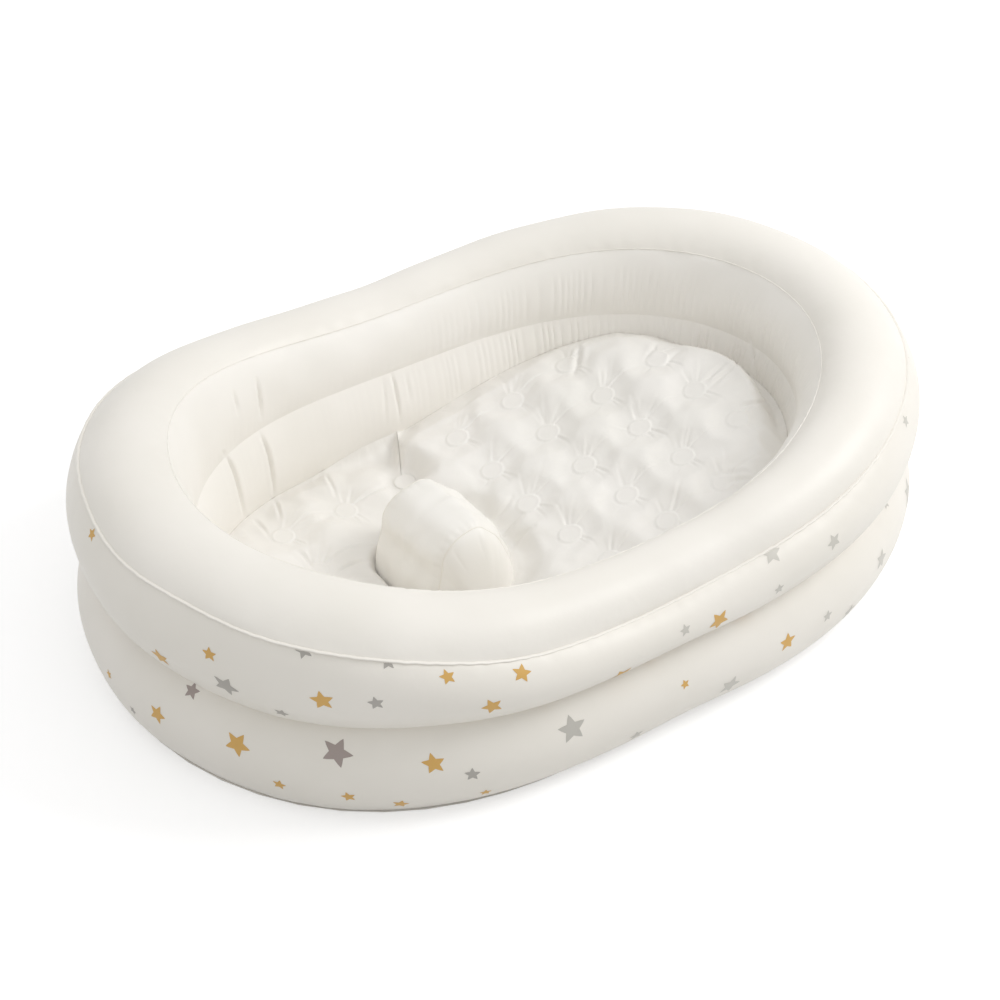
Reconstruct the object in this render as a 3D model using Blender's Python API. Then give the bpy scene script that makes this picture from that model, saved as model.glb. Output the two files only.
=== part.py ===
"""Inflatable bathtub with a printed wall, a tufted floor and a saddle horn.

Metres, +Z up. The long side runs along X with the raised backrest at +X. The
origin is at the bottom, in the middle of the tub's outer box.
"""

import math

import bmesh
import bpy
import numpy as np
from mathutils import Matrix, Vector
from mathutils.geometry import delaunay_2d_cdt

# Plan of the rim seam, as a distance from the middle
HALF_LENGTH = 0.414
HALF_WIDTH = 0.279
WAIST = 0.0033            # draws the long sides straight
EGG_SHIFT = -0.0046       # the foot end is a little fuller than the head end
EGG_TAPER = 0.0028
EGG_ROUND = 0.0017
STATIONS = 64             # steps round the ring

# Rim seam, crown and grooves, at the middle of a long side and their change at the ends
SEAM_HEIGHT = 0.145
SEAM_FOOT_RISE = 0.052
SEAM_HEAD_RISE = 0.042
TOP_WIDTH = 0.062
TOP_END_EXTRA = 0.021
INNER_SEAM_HEIGHT = 0.168
INNER_FOOT_RISE = 0.044
INNER_HEAD_RISE = 0.027
CROWN_RISE = 0.0215
CROWN_FOOT_FALL = 0.008
UPPER_BULGE = 0.023
UPPER_END_FALL = 0.003
GROOVE_HEIGHT = 0.097
GROOVE_INSET = 0.004
GROOVE_END_INSET = 0.007
INNER_GROOVE_HEIGHT = 0.112
INNER_GROOVE_HEAD_RISE = 0.014
INNER_GROOVE_STEP = 0.020  # the inner groove lies this far inside the inner seam
INNER_BULGE = 0.008
LOWER_BULGE = 0.027
LOWER_FOOT_FALL = 0.007
BASE_INSET = 0.006
BASE_HEAD_INSET = 0.013
LOWER_INNER_BULGE = 0.013
BASE_INNER_STEP = 0.004

# Sheets, welds and clearances
SHEET = 0.0006
BASE_FLANGE = 0.002
WEB_SETBACK = 0.0012
BEAD_THICK = 0.0009
BEAD_WIDTH = 0.0026
INNER_BEAD_WIDTH = 0.0012
GAP = 0.0003

# Tufted floor
BUTTON_RADIUS = 0.0105
ROW_PITCH = 0.063
SEAT_PITCH = 0.072
SEAT_FIRST_COLUMN = -0.032
BACK_PITCH = 0.066
BACK_FIRST_COLUMN = 0.027
SEAT_TOP = 0.033
SEAT_TUFT_DEPTH = 0.009
SEAT_EDGE_HEIGHT = 0.024
BACK_BUTTON_HEIGHT = 0.0615
BACK_SLOPE_SHARE = 0.28
BACK_TUFT_DEPTH = 0.013
BACK_EDGE_FALL = 0.013
BACK_EDGE_MOST = 0.104
HEAD_EDGE_FALL = 0.030
HEAD_EDGE_START_SHARE = 0.6
SEAT_ROUND = 0.020
BACK_ROUND = 0.034
HEAD_ROUND = 0.056
FOLD_HEIGHT = 0.016
FOLD_ROUND = 0.024
TUFT_SPREAD = 0.020
FOLD_APEX = -0.105
FOLD_SLOPE_SHARE = 0.53
FOLD_GAP = 0.0004
BUTTON_MARGIN = 0.016
MESH_PITCH = 0.019
SIDE_DRAW = 0.003

# Saddle horn
HORN_WIDTH = 0.100
HORN_CENTRE = -0.069
HORN_HALF_LENGTH = 0.044
HORN_FOOT = 0.014
HORN_TOP = 0.102
HORN_DOME = 0.014
HORN_PANEL = 0.0008

# Valves
FLANGE_RADIUS = 0.0155
FLANGE_THICK = 0.0012
COLLAR_WALL = 0.0016
COLLAR_HEIGHT = 0.0030
STEM_RADIUS = 0.0058
STEM_BORE = 0.0042
STEM_LENGTH = 0.0140
STEM_FLOOR = 0.0020
RUNNING_GAP = 0.0004
LIP_RADIUS = 0.0085
LIP_THICK = 0.0012
STRAP_REACH = 0.0125
STRAP_WIDTH = 0.0050
PEG_LENGTH = 0.0040
PEG_TAPER = 0.0009
VALVE_SINK = 0.0024
POCKET_SPARE = 0.0015
STOPPER_THICK = 0.0014
ROUND_SIDES = 20

# Drain at the foot of the seat
DRAIN_PLACE = -0.212
DRAIN_RADIUS = 0.0115
DRAIN_WALL = 0.0016
DRAIN_FLANGE = 0.0240
DRAIN_HEAD = 0.0145
DRAIN_REACH = 0.0210

# Valve places: how far round the ring, counted from the head end
UPPER_VALVE_ANGLE = math.radians(34)
LOWER_VALVE_ANGLE = math.radians(56)
FLOOR_VALVE_ROW_SHARE = -1.5
FLOOR_VALVE_COLUMN_SHARE = 1.5
CUT_OVERRUN = 0.03
SHARP_ANGLE = math.radians(38)

# Steps along each curve of the ring's section and round a button
WALL_STEPS = 6
LOWER_INNER_STEPS = 5
INNER_STEPS = 4
CROWN_STEPS = 7
BUTTON_SIDES = 8

# Shares
KEPT_INSET_SHARE = 0.9
RIM_CLEAR_SHARE = 0.4
BUTTON_CLEAR_SHARE = 0.35
SEAT_ROLL_SHARES = (0.4,)
BACK_ROLL_SHARES = (0.16, 0.5)
STRAP_UNDERLAP_SHARE = 0.2
EAR_START_SHARE = 0.8
BACK_END_SHARE = 0.72

# Outline of the horn seen along the tub's width, as shares of its width and height
HORN_SHARES = (
    (-0.50, 0.0), (-0.50, 0.12), (-0.485, 0.32), (-0.455, 0.54), (-0.395, 0.75),
    (-0.29, 0.905), (-0.14, 0.985), (0.03, 1.0), (0.19, 0.955), (0.315, 0.84),
    (0.39, 0.66), (0.435, 0.42), (0.475, 0.20), (0.50, 0.0),
)
HORN_STATION_SHARES = ((-1.0, 0.935), (-0.93, 0.965), (-0.8, 0.988), (-0.4, 1.01), (0.0, 1.02),
                       (0.4, 1.01), (0.8, 0.988), (0.93, 0.965), (1.0, 0.935))
DOME_SHARES = (0.93, 0.7, 0.38)
COLOURS = {
    "wall": (0.83, 0.80, 0.74),
    "rim": (0.87, 0.85, 0.80),
    "floor": (0.86, 0.83, 0.78),
    "clear": (0.90, 0.90, 0.88),
}
VINYL_ROUGHNESS = 0.42


def clear_scene():
    for item in list(bpy.data.objects):
        bpy.data.objects.remove(item, do_unlink=True)


def material(group):
    name = "vinyl_" + group
    found = bpy.data.materials.get(name)
    if found:
        return found
    made = bpy.data.materials.new(name)
    made.use_nodes = True
    shader = made.node_tree.nodes["Principled BSDF"]
    shader.inputs["Base Color"].default_value = (*COLOURS[group], 1.0)
    shader.inputs["Roughness"].default_value = VINYL_ROUGHNESS
    shader.inputs["Metallic"].default_value = 0.0
    made.diffuse_color = (*COLOURS[group], 1.0)
    return made


def add_object(name, bm, group, place=None):
    """Close the mesh work, face it outwards and place it."""
    bmesh.ops.recalc_face_normals(bm, faces=bm.faces)
    if bm.calc_volume(signed=True) < 0:
        bmesh.ops.reverse_faces(bm, faces=bm.faces)
    mesh = bpy.data.meshes.new(name)
    bm.to_mesh(mesh)
    bm.free()
    mesh.shade_smooth()
    mesh.set_sharp_from_angle(angle=SHARP_ANGLE)
    mesh.materials.append(material(group))
    item = bpy.data.objects.new(name, mesh)
    bpy.context.scene.collection.objects.link(item)
    if place is not None:
        item.matrix_world = place
    return item


def cut(target, cutters):
    for cutter in cutters:
        step = target.modifiers.new("cut_" + cutter.name, "BOOLEAN")
        step.operation = "DIFFERENCE"
        step.solver = "EXACT"
        step.object = cutter
        cutter.hide_render = True
        cutter.display_type = "WIRE"


def arc(start, end, rise, count):
    """Points from start to end on an arc that bulges to the left by rise."""
    start = np.array(start)
    chord = np.array(end) - start
    length = np.hypot(*chord)
    across = np.array((-chord[1], chord[0])) / length
    radius = (length * length / 4 + rise * rise) / (2 * rise)
    half = math.atan2(length / 2, radius - rise)
    points = []
    for step in range(count + 1):
        turn = (step / count - 0.5) * 2 * half
        along = radius * math.sin(turn) / length + 0.5
        out = radius * math.cos(turn) - (radius - rise)
        points.append(start + along * chord + out * across)
    return np.array(points)


def plan_radius(angle):
    mean = (HALF_LENGTH + HALF_WIDTH) / 2 + WAIST
    return (mean + EGG_SHIFT * np.cos(angle)
            + (HALF_LENGTH - HALF_WIDTH) / 2 * np.cos(2 * angle)
            + EGG_TAPER * np.cos(3 * angle) - WAIST * np.cos(4 * angle)
            + EGG_ROUND * np.cos(5 * angle))


def plan_frame(angle):
    """Point of the rim seam in plan, and the outward direction there."""
    step = math.pi / STATIONS / STATIONS
    spot = plan_radius(angle) * np.array((math.cos(angle), math.sin(angle)))
    after = plan_radius(angle + step) * np.array((math.cos(angle + step), math.sin(angle + step)))
    along = (after - spot) / np.hypot(*(after - spot))
    return spot, np.array((along[1], -along[0]))


def end_shares(angle):
    """How much of the foot end and of the head end a station has, 0 to 1 each."""
    reach = min(1.0, abs(plan_frame(angle)[0][0]) / HALF_LENGTH)
    share = reach * reach * (3 - 2 * reach)
    if math.cos(angle) > 0:
        return 0.0, share
    return share, 0.0


def section(angle):
    """Corners of the ring's section: outward offset from the rim seam, and height."""
    foot, head = end_shares(angle)
    both = foot + head
    inner_seam = -(TOP_WIDTH + TOP_END_EXTRA * both)
    inner_groove = inner_seam - INNER_GROOVE_STEP
    groove_out = -(GROOVE_INSET + GROOVE_END_INSET * both)
    base_out = -(BASE_INSET + BASE_HEAD_INSET * head)
    return {
        "seam": (0.0, SEAM_HEIGHT + SEAM_FOOT_RISE * foot + SEAM_HEAD_RISE * head),
        "inner_seam": (inner_seam, INNER_SEAM_HEIGHT + INNER_FOOT_RISE * foot + INNER_HEAD_RISE * head),
        "groove": (groove_out, GROOVE_HEIGHT),
        "inner_groove": (inner_groove, INNER_GROOVE_HEIGHT + INNER_GROOVE_HEAD_RISE * head),
        "base": (base_out, SHEET + GAP),
        "inner_base": (inner_groove + BASE_INNER_STEP, SHEET + GAP),
        "crown": CROWN_RISE - CROWN_FOOT_FALL * foot,
        "upper": UPPER_BULGE - UPPER_END_FALL * both,
        "lower": LOWER_BULGE - LOWER_FOOT_FALL * foot,
    }


def raised(corner, rise):
    return corner[0], corner[1] + rise


def upper_profile(angle):
    corners = section(angle)
    half = SHEET / 2 + GAP
    groove = raised(corners["groove"], half)
    inner_groove = raised(corners["inner_groove"], half)
    outer = arc(corners["seam"], groove, corners["upper"], WALL_STEPS)
    inner = arc(inner_groove, corners["inner_seam"], INNER_BULGE, INNER_STEPS)
    crown = arc(corners["inner_seam"], corners["seam"], corners["crown"], CROWN_STEPS)
    return np.concatenate((outer, inner, crown[1:-1]))


def lower_profile(angle):
    corners = section(angle)
    half = SHEET / 2 + GAP
    groove = raised(corners["groove"], -half)
    inner_groove = raised(corners["inner_groove"], -half)
    outer = arc(groove, corners["base"], corners["lower"], WALL_STEPS)
    inner = arc(corners["inner_base"], inner_groove, LOWER_INNER_BULGE, LOWER_INNER_STEPS)
    return np.concatenate((outer, inner))


def web_profile(angle):
    corners = section(angle)
    groove = np.array(corners["groove"])
    inner_groove = np.array(corners["inner_groove"])
    along = (inner_groove - groove) / np.hypot(*(inner_groove - groove))
    start = groove + along * WEB_SETBACK
    end = inner_groove - along * WEB_SETBACK
    half = np.array((0.0, SHEET / 2))
    return np.array((start + half, start - half, end - half, end + half))


def bead_profile(before, corner, after, width):
    """A narrow weld flange that stands out of the crease between two bulges."""
    to_before = (before - corner) / np.hypot(*(before - corner))
    to_after = (after - corner) / np.hypot(*(after - corner))
    side_before = np.array((to_before[1], -to_before[0]))
    side_after = np.array((-to_after[1], to_after[0]))
    out = side_before + side_after
    out = out / np.hypot(*out)
    across = np.array((-out[1], out[0]))
    opening = math.acos(max(-1.0, min(1.0, float(out @ to_before))))
    start = GAP
    if opening < math.pi / 2:
        start = start + (BEAD_THICK / 2 + GAP) / math.tan(opening)
    half = across * BEAD_THICK / 2
    near = corner + out * start
    far = corner + out * (start + width)
    return np.array((near + half, near - half, far - half, far + half))


def outer_bead_profile(angle):
    corners = section(angle)
    crown = arc(corners["inner_seam"], corners["seam"], corners["crown"], CROWN_STEPS)
    groove = raised(corners["groove"], SHEET / 2 + GAP)
    wall = arc(corners["seam"], groove, corners["upper"], WALL_STEPS)
    return bead_profile(crown[-2], crown[-1], wall[1], BEAD_WIDTH)


def inner_bead_profile(angle):
    corners = section(angle)
    inner_groove = raised(corners["inner_groove"], SHEET / 2 + GAP)
    wall = arc(inner_groove, corners["inner_seam"], INNER_BULGE, INNER_STEPS)
    crown = arc(corners["inner_seam"], corners["seam"], corners["crown"], CROWN_STEPS)
    return bead_profile(wall[-2], crown[0], crown[1], INNER_BEAD_WIDTH)


def ring_angles():
    return [2 * math.pi * step / STATIONS for step in range(STATIONS)]


def plan_shift():
    """Moves the tub so that the middle of its outer box is over the origin."""
    reach = []
    for angle in ring_angles():
        spot, out = plan_frame(angle)
        widest = max(upper_profile(angle)[:, 0].max(), lower_profile(angle)[:, 0].max())
        reach.append(spot + out * widest)
    reach = np.array(reach)
    return (reach.max(axis=0) + reach.min(axis=0)) / 2


SHIFT = plan_shift()


def to_world(angle, offset, height):
    spot, out = plan_frame(angle)
    flat = spot + out * offset - SHIFT
    return Vector((flat[0], flat[1], height))


def sweep(profile_of):
    """A closed ring whose section changes from station to station."""
    bm = bmesh.new()
    profiles = [profile_of(angle) for angle in ring_angles()]
    loops = []
    for angle, profile in zip(ring_angles(), profiles):
        loops.append([bm.verts.new(to_world(angle, *point)) for point in profile])
    for index, loop in enumerate(loops):
        following = loops[(index + 1) % len(loops)]
        profile = profiles[index]
        for side in range(len(loop)):
            other = (side + 1) % len(loop)
            if profile[side][0] > profile[other][0]:
                bm.faces.new((loop[side], loop[other], following[other]))
                bm.faces.new((loop[side], following[other], following[side]))
            else:
                bm.faces.new((loop[side], loop[other], following[side]))
                bm.faces.new((loop[other], following[other], following[side]))
    return bm


def turned(profile, sides, closed):
    """Turn a profile of radius and height round Z; an open one starts and ends on the axis."""
    bm = bmesh.new()
    rings = []
    for radius, height in profile:
        if radius == 0:
            rings.append([bm.verts.new((0.0, 0.0, height))])
            continue
        ring = []
        for step in range(sides):
            angle = 2 * math.pi * step / sides
            ring.append(bm.verts.new((radius * math.cos(angle), radius * math.sin(angle), height)))
        rings.append(ring)
    pairs = list(zip(rings, rings[1:]))
    if closed:
        pairs.append((rings[-1], rings[0]))
    for first, second in pairs:
        for step in range(sides):
            after = (step + 1) % sides
            if len(first) == 1:
                bm.faces.new((first[0], second[after], second[step]))
            elif len(second) == 1:
                bm.faces.new((first[step], first[after], second[0]))
            else:
                bm.faces.new((first[step], first[after], second[after], second[step]))
    return bm


def cylinder_cutter(name, radius, low, high, place):
    bm = turned(((0, low), (radius, low), (radius, high), (0, high)), ROUND_SIDES, False)
    return add_object(name, bm, "clear", place)


def prism(outline, low, high):
    """A flat sheet with the given outline."""
    bm = bmesh.new()
    bottom = [bm.verts.new((x, y, low)) for x, y in outline]
    top = [bm.verts.new((x, y, high)) for x, y in outline]
    bm.faces.new(bottom[::-1])
    bm.faces.new(top)
    for index in range(len(outline)):
        after = (index + 1) % len(outline)
        bm.faces.new((bottom[index], bottom[after], top[after], top[index]))
    bmesh.ops.triangulate(bm, faces=[face for face in bm.faces if len(face.verts) > 4])
    return bm


# The two floor cushions


def floor_outline():
    """Where the floor meets the lower chamber's inner wall, as points in plan."""
    points = []
    for angle in ring_angles():
        nearest = lower_profile(angle)[:, 0].min() - GAP
        spot = to_world(angle, nearest, 0.0)
        points.append((spot.x, spot.y))
    return np.array(points)


def past_fold(point):
    """Positive on the backrest's side of the fold."""
    return point[0] - (FOLD_APEX + FOLD_SLOPE_SHARE * abs(point[1]))


def cushion_outline(sign):
    """The backrest's outline for sign 1 and the seat's for sign -1."""
    points = floor_outline()
    if sign > 0:
        points = np.roll(points, STATIONS // 2, axis=0)
    shift = sign * FOLD_GAP / 2
    kept = []
    total = len(points)
    for index in range(total):
        here = points[index]
        after = points[(index + 1) % total]
        side_here = (past_fold(here) - shift) * sign
        side_after = (past_fold(after) - shift) * sign
        if side_here > 0:
            kept.append(here)
        if (side_here > 0) != (side_after > 0):
            share = side_here / (side_here - side_after)
            kept.append(here + share * (after - here))
    apex = np.array((FOLD_APEX + shift, 0.0))
    first = kept[0]
    last = kept[-1]
    count = max(2, round(float(np.hypot(*(apex - last))) / MESH_PITCH))
    for step in range(1, count + 1):
        kept.append(last + (apex - last) * step / count)
    for step in range(1, count):
        kept.append(apex + (first - apex) * step / count)
    return np.array(kept)


def outline_distance(points, outline):
    """Least distance from each point to the outline, and whether it lies inside."""
    starts = outline
    ends = np.roll(outline, -1, axis=0)
    run = ends - starts
    length = (run * run).sum(axis=1)
    rel = points[:, None] - starts[None]
    share = np.clip((rel * run[None]).sum(axis=2) / length[None], 0, 1)
    gaps = rel - share[..., None] * run[None]
    distance = np.hypot(gaps[..., 0], gaps[..., 1]).min(axis=1)
    crosses = (starts[None, :, 1] > points[:, None, 1]) != (ends[None, :, 1] > points[:, None, 1])
    rise = np.where(run[:, 1] == 0, 1, run[:, 1])
    meet = starts[None, :, 0] + (points[:, None, 1] - starts[None, :, 1]) / rise[None] * run[None, :, 0]
    inside = (crosses & (points[:, None, 0] < meet)).sum(axis=1) % 2 == 1
    return distance, inside


def horn_distance(point):
    """Distance in plan from the horn's foot, negative inside it."""
    along = abs(point[0] - HORN_CENTRE) - HORN_WIDTH / 2
    across = abs(point[1]) - HORN_HALF_LENGTH - HORN_DOME
    return max(along, across)


def button_places(first_column, pitch, outline):
    """Weld points of the tufting that fit inside the outline and clear of the horn."""
    places = []
    columns = math.ceil(2 * HALF_LENGTH / abs(pitch))
    rows = math.ceil(HALF_WIDTH / ROW_PITCH)
    for column in range(columns):
        for row in range(-rows, rows + 1):
            places.append((first_column + pitch * column, ROW_PITCH * row))
    places = np.array(places)
    distance, inside = outline_distance(places, outline)
    free = np.array([horn_distance(place) > BUTTON_MARGIN for place in places])
    return places[inside & (distance > BUTTON_MARGIN) & free]


def roll_off(distance, width):
    """Share of the fall at a distance from an edge that rounds over within width."""
    share = min(1.0, max(0.0, 1 - distance / width))
    return 1 - math.sqrt(1 - share * share)


def head_share(x):
    """0 along the sides, rising to 1 at the head end."""
    share = (x / HALF_LENGTH - HEAD_EDGE_START_SHARE) / (BACK_END_SHARE - HEAD_EDGE_START_SHARE)
    return min(1.0, max(0.0, share))


def seat_edge(x):
    return SEAT_EDGE_HEIGHT, SEAT_ROUND


def back_edge(x):
    height = min(back_level(x) - BACK_EDGE_FALL, BACK_EDGE_MOST)
    head = head_share(x)
    return height - HEAD_EDGE_FALL * head, BACK_ROUND + (HEAD_ROUND - BACK_ROUND) * head


def cushion_top(point, wall_gap, fold_gap, buttons, level, depth, edge):
    """Height of a tufted pillow surface."""
    far = np.hypot(buttons[:, 0] - point[0], buttons[:, 1] - point[1])
    pull = np.exp(-(np.maximum(0.0, far - BUTTON_RADIUS) / TUFT_SPREAD) ** 2)
    height = level(point[0]) + depth * float(np.prod(1 - pull))
    edge_height, edge_round = edge(point[0])
    height = height - (height - edge_height) * roll_off(wall_gap, edge_round)
    return height - (height - FOLD_HEIGHT) * roll_off(fold_gap, FOLD_ROUND)


def inset_points(outline, amount):
    before = np.roll(outline, 1, axis=0)
    after = np.roll(outline, -1, axis=0)
    along = after - before
    along = along / np.hypot(along[:, 0], along[:, 1])[:, None]
    moved = outline + np.stack((-along[:, 1], along[:, 0]), axis=1) * amount
    distance, inside = outline_distance(moved, outline)
    return moved[inside & (distance > amount * KEPT_INSET_SHARE)]


def cushion(name, outline, buttons, level, depth, edge, insets):
    """A closed pillow: tufted top, drawn-in side and flat underside."""
    fixed = len(outline)
    points = [tuple(point) for point in outline]
    edges = [(index, (index + 1) % fixed) for index in range(fixed)]
    taken = []
    for amount in insets:
        taken.extend(inset_points(outline, amount))
    for place in buttons:
        taken.append(place)
        for step in range(BUTTON_SIDES):
            angle = 2 * math.pi * (step + 0.5) / BUTTON_SIDES
            taken.append(place + BUTTON_RADIUS * np.array((math.cos(angle), math.sin(angle))))
    low = outline.min(axis=0)
    high = outline.max(axis=0)
    free = []
    half_rows = math.ceil(high[1] / MESH_PITCH)
    for x in np.arange(low[0], high[0], MESH_PITCH):
        for y in np.arange(-half_rows * MESH_PITCH, half_rows * MESH_PITCH, MESH_PITCH):
            free.append((x, y))
    free = np.array(free)
    distance, inside = outline_distance(free, outline)
    free = free[inside & (distance > insets[-1] + MESH_PITCH * RIM_CLEAR_SHARE)]
    reach = np.linalg.norm(free[:, None] - buttons[None], axis=2).min(axis=1)
    taken.extend(free[reach > BUTTON_RADIUS + MESH_PITCH * BUTTON_CLEAR_SHARE])
    points.extend(tuple(point) for point in taken)
    flat = [Vector(point) for point in points]
    verts, _, faces, _, _, _ = delaunay_2d_cdt(flat, edges, [], 1, GAP * GAP)

    spots = np.array([(vert.x, vert.y) for vert in verts])
    wall_gaps, _ = outline_distance(spots, floor_outline())
    bm = bmesh.new()
    top = []
    for spot, wall_gap in zip(spots, wall_gaps):
        fold_gap = abs(past_fold(spot)) / math.hypot(1.0, FOLD_SLOPE_SHARE)
        height = cushion_top(spot, wall_gap, fold_gap, buttons, level, depth, edge)
        top.append(bm.verts.new((spot[0], spot[1], height)))
    for face in faces:
        bm.faces.new([top[index] for index in face])
    for vert in list(bm.verts):
        if not vert.link_faces:
            bm.verts.remove(vert)

    rim = [edge for edge in bm.edges if edge.is_boundary]
    made = bmesh.ops.extrude_edge_only(bm, edges=rim)["geom"]
    middle = [item for item in made if isinstance(item, bmesh.types.BMVert)]
    centre = Vector((float(spots[:, 0].mean()), 0.0, 0.0))
    for vert in middle:
        inward = centre - vert.co
        inward.z = 0
        vert.co += inward.normalized() * SIDE_DRAW
        vert.co.z = (vert.co.z + SHEET + GAP) / 2
    rim = [edge for edge in bm.edges if edge.is_boundary]
    made = bmesh.ops.extrude_edge_only(bm, edges=rim)["geom"]
    for vert in made:
        if isinstance(vert, bmesh.types.BMVert):
            vert.co.z = SHEET + GAP
    rim = [edge for edge in bm.edges if edge.is_boundary]
    bmesh.ops.triangle_fill(bm, use_beauty=True, edges=rim)
    return add_object(name, bm, "floor")


def seat_level(x):
    return SEAT_TOP - SEAT_TUFT_DEPTH


def back_level(x):
    return BACK_BUTTON_HEIGHT + BACK_SLOPE_SHARE * (x - BACK_FIRST_COLUMN)


# The saddle horn


def dome_rise(share):
    """Height of a round dome at a share of its width, as a share of its full height."""
    return math.sqrt(1 - share * share)


def horn_loops(grow, end_grow):
    """Arch sections along the tub's width, with a share of a dome at each end."""
    loops = []
    width = HORN_WIDTH + 2 * grow
    height = HORN_TOP - HORN_FOOT + 2 * grow
    reach = HORN_HALF_LENGTH + end_grow
    last_scale = HORN_STATION_SHARES[-1][1]
    stations = [(-1.0, last_scale * share, dome_rise(share)) for share in reversed(DOME_SHARES)]
    stations += [(place, scale, 0.0) for place, scale in HORN_STATION_SHARES]
    stations += [(1.0, last_scale * share, dome_rise(share)) for share in DOME_SHARES]
    for place, scale, dome in stations:
        y = place * (reach + HORN_DOME * dome)
        loops.append(arch_loop(y, width * scale, height, scale, grow))
    return loops


def arch_loop(y, width, height, scale, grow):
    middle = HORN_FOOT - grow + height / 2
    loop = []
    for across, up in HORN_SHARES:
        z = HORN_FOOT - grow + height * up
        z = middle + (z - middle) * scale
        loop.append((HORN_CENTRE + width * across, y, z))
    return loop


def loft(loops):
    bm = bmesh.new()
    rings = [[bm.verts.new(point) for point in loop] for loop in loops]
    for first, second in zip(rings, rings[1:]):
        for index in range(len(first)):
            after = (index + 1) % len(first)
            bm.faces.new((first[index], first[after], second[after], second[index]))
    for ring in (rings[0], rings[-1]):
        bmesh.ops.triangulate(bm, faces=[bm.faces.new(ring)])
    return bm


def horn_panel(name, sign):
    """The D-shaped end panel, a thin domed sheet over the horn's end."""
    height = HORN_TOP - HORN_FOOT
    last_scale = HORN_STATION_SHARES[-1][1]
    outer = []
    inner = []
    for share in DOME_SHARES:
        scale = last_scale * share
        reach = HORN_HALF_LENGTH + HORN_DOME * dome_rise(share) + GAP
        inner.append(arch_loop(sign * reach, HORN_WIDTH * scale, height, scale, 0.0))
        outer.append(arch_loop(sign * (reach + HORN_PANEL), HORN_WIDTH * scale, height, scale, 0.0))
    bm = loft(outer[::-1] + inner)
    return add_object(name, bm, "floor")


# Valves and their stoppers


def stopper(name, head_radius, peg_radius, reach, place):
    """A cap with a tapered peg and a strap; its origin is on the strap's fold."""
    low = GAP
    bm = turned(((0, -PEG_LENGTH), (peg_radius - PEG_TAPER, -PEG_LENGTH), (peg_radius, -GAP),
                 (peg_radius, low), (head_radius, low), (head_radius, low + STOPPER_THICK),
                 (0, low + STOPPER_THICK)), ROUND_SIDES, False)
    bmesh.ops.translate(bm, verts=bm.verts, vec=(-reach, 0, GAP / 2 - low))
    cap = add_object(name, bm, "clear", place @ Matrix.Translation((reach, 0, low - GAP / 2)))
    half = STRAP_WIDTH / 2
    start = -(reach - head_radius) - head_radius * STRAP_UNDERLAP_SHARE
    strap = prism(((start, -half), (-GAP, -half), (-GAP, half), (start, half)),
                  GAP / 2, GAP / 2 + LIP_THICK)
    arm = add_object(name + "_strap_shape", strap, "clear", cap.matrix_world.copy())
    join = cap.modifiers.new("strap", "BOOLEAN")
    join.operation = "UNION"
    join.solver = "EXACT"
    join.object = arm
    arm.hide_render = True
    arm.display_type = "WIRE"
    return cap


def ear(name, lip_radius, reach, top, place):
    """The tongue on a lip that carries the strap's fold."""
    half = STRAP_WIDTH / 2
    start = lip_radius * EAR_START_SHARE
    shape = prism(((start, -half), (reach + GAP, -half), (reach + GAP, half), (start, half)),
                  top - LIP_THICK, top)
    item = add_object(name, shape, "clear", place)
    item.hide_render = True
    item.display_type = "WIRE"
    return item


def unite(target, shape):
    join = target.modifiers.new("join_" + shape.name, "BOOLEAN")
    join.operation = "UNION"
    join.solver = "EXACT"
    join.object = shape


def valve(prefix, place):
    """Flange, sliding stem and stopper. The flange's underside is at local height zero."""
    bore = STEM_RADIUS + RUNNING_GAP
    collar = FLANGE_THICK + COLLAR_HEIGHT
    flange = turned(((bore, 0.0), (FLANGE_RADIUS, 0.0), (FLANGE_RADIUS, FLANGE_THICK),
                     (bore + COLLAR_WALL, FLANGE_THICK), (bore + COLLAR_WALL, collar),
                     (bore, collar)), ROUND_SIDES, True)
    add_object(prefix + "_valve_flange", flange, "clear", place)

    lip_low = collar + GAP
    lip_top = lip_low + LIP_THICK
    bottom = lip_top - STEM_LENGTH
    stem = turned(((0, bottom), (STEM_RADIUS, bottom), (STEM_RADIUS, lip_low),
                   (LIP_RADIUS, lip_low), (LIP_RADIUS, lip_top), (STEM_BORE, lip_top),
                   (STEM_BORE, bottom + STEM_FLOOR), (0, bottom + STEM_FLOOR)), ROUND_SIDES, False)
    body = add_object(prefix + "_valve_stem", stem, "clear", place)
    unite(body, ear(prefix + "_valve_ear_shape", LIP_RADIUS, STRAP_REACH, lip_top, place))

    head = place @ Matrix.Translation((0, 0, lip_top))
    stopper(prefix + "_valve_plug", LIP_RADIUS, STEM_BORE - RUNNING_GAP, STRAP_REACH, head)

    recess = cylinder_cutter(prefix + "_recess", FLANGE_RADIUS + GAP, -GAP, CUT_OVERRUN, place)
    deep = bottom - POCKET_SPARE
    pocket = cylinder_cutter(prefix + "_pocket", bore + GAP, deep, CUT_OVERRUN, place)
    return recess, pocket


def wall_place(angle, start, end, rise):
    """A frame on the middle of a bulging wall: Z out of the wall, X upwards."""
    middle = arc(start, end, rise, 2)[1]
    chord = np.array(end) - np.array(start)
    chord = chord / np.hypot(*chord)
    across = np.array((-chord[1], chord[0]))
    _, out = plan_frame(angle)
    normal = Vector((out[0] * across[0], out[1] * across[0], across[1])).normalized()
    side = Vector((-out[1], out[0], 0.0)).normalized()
    up = side.cross(normal).normalized()
    if up.z < 0:
        up = -up
    side = normal.cross(up)
    spot = to_world(angle, middle[0], middle[1]) - normal * VALVE_SINK
    turn = Matrix((up, side, normal)).transposed()
    return Matrix.Translation(spot) @ turn.to_4x4()


clear_scene()

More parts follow.
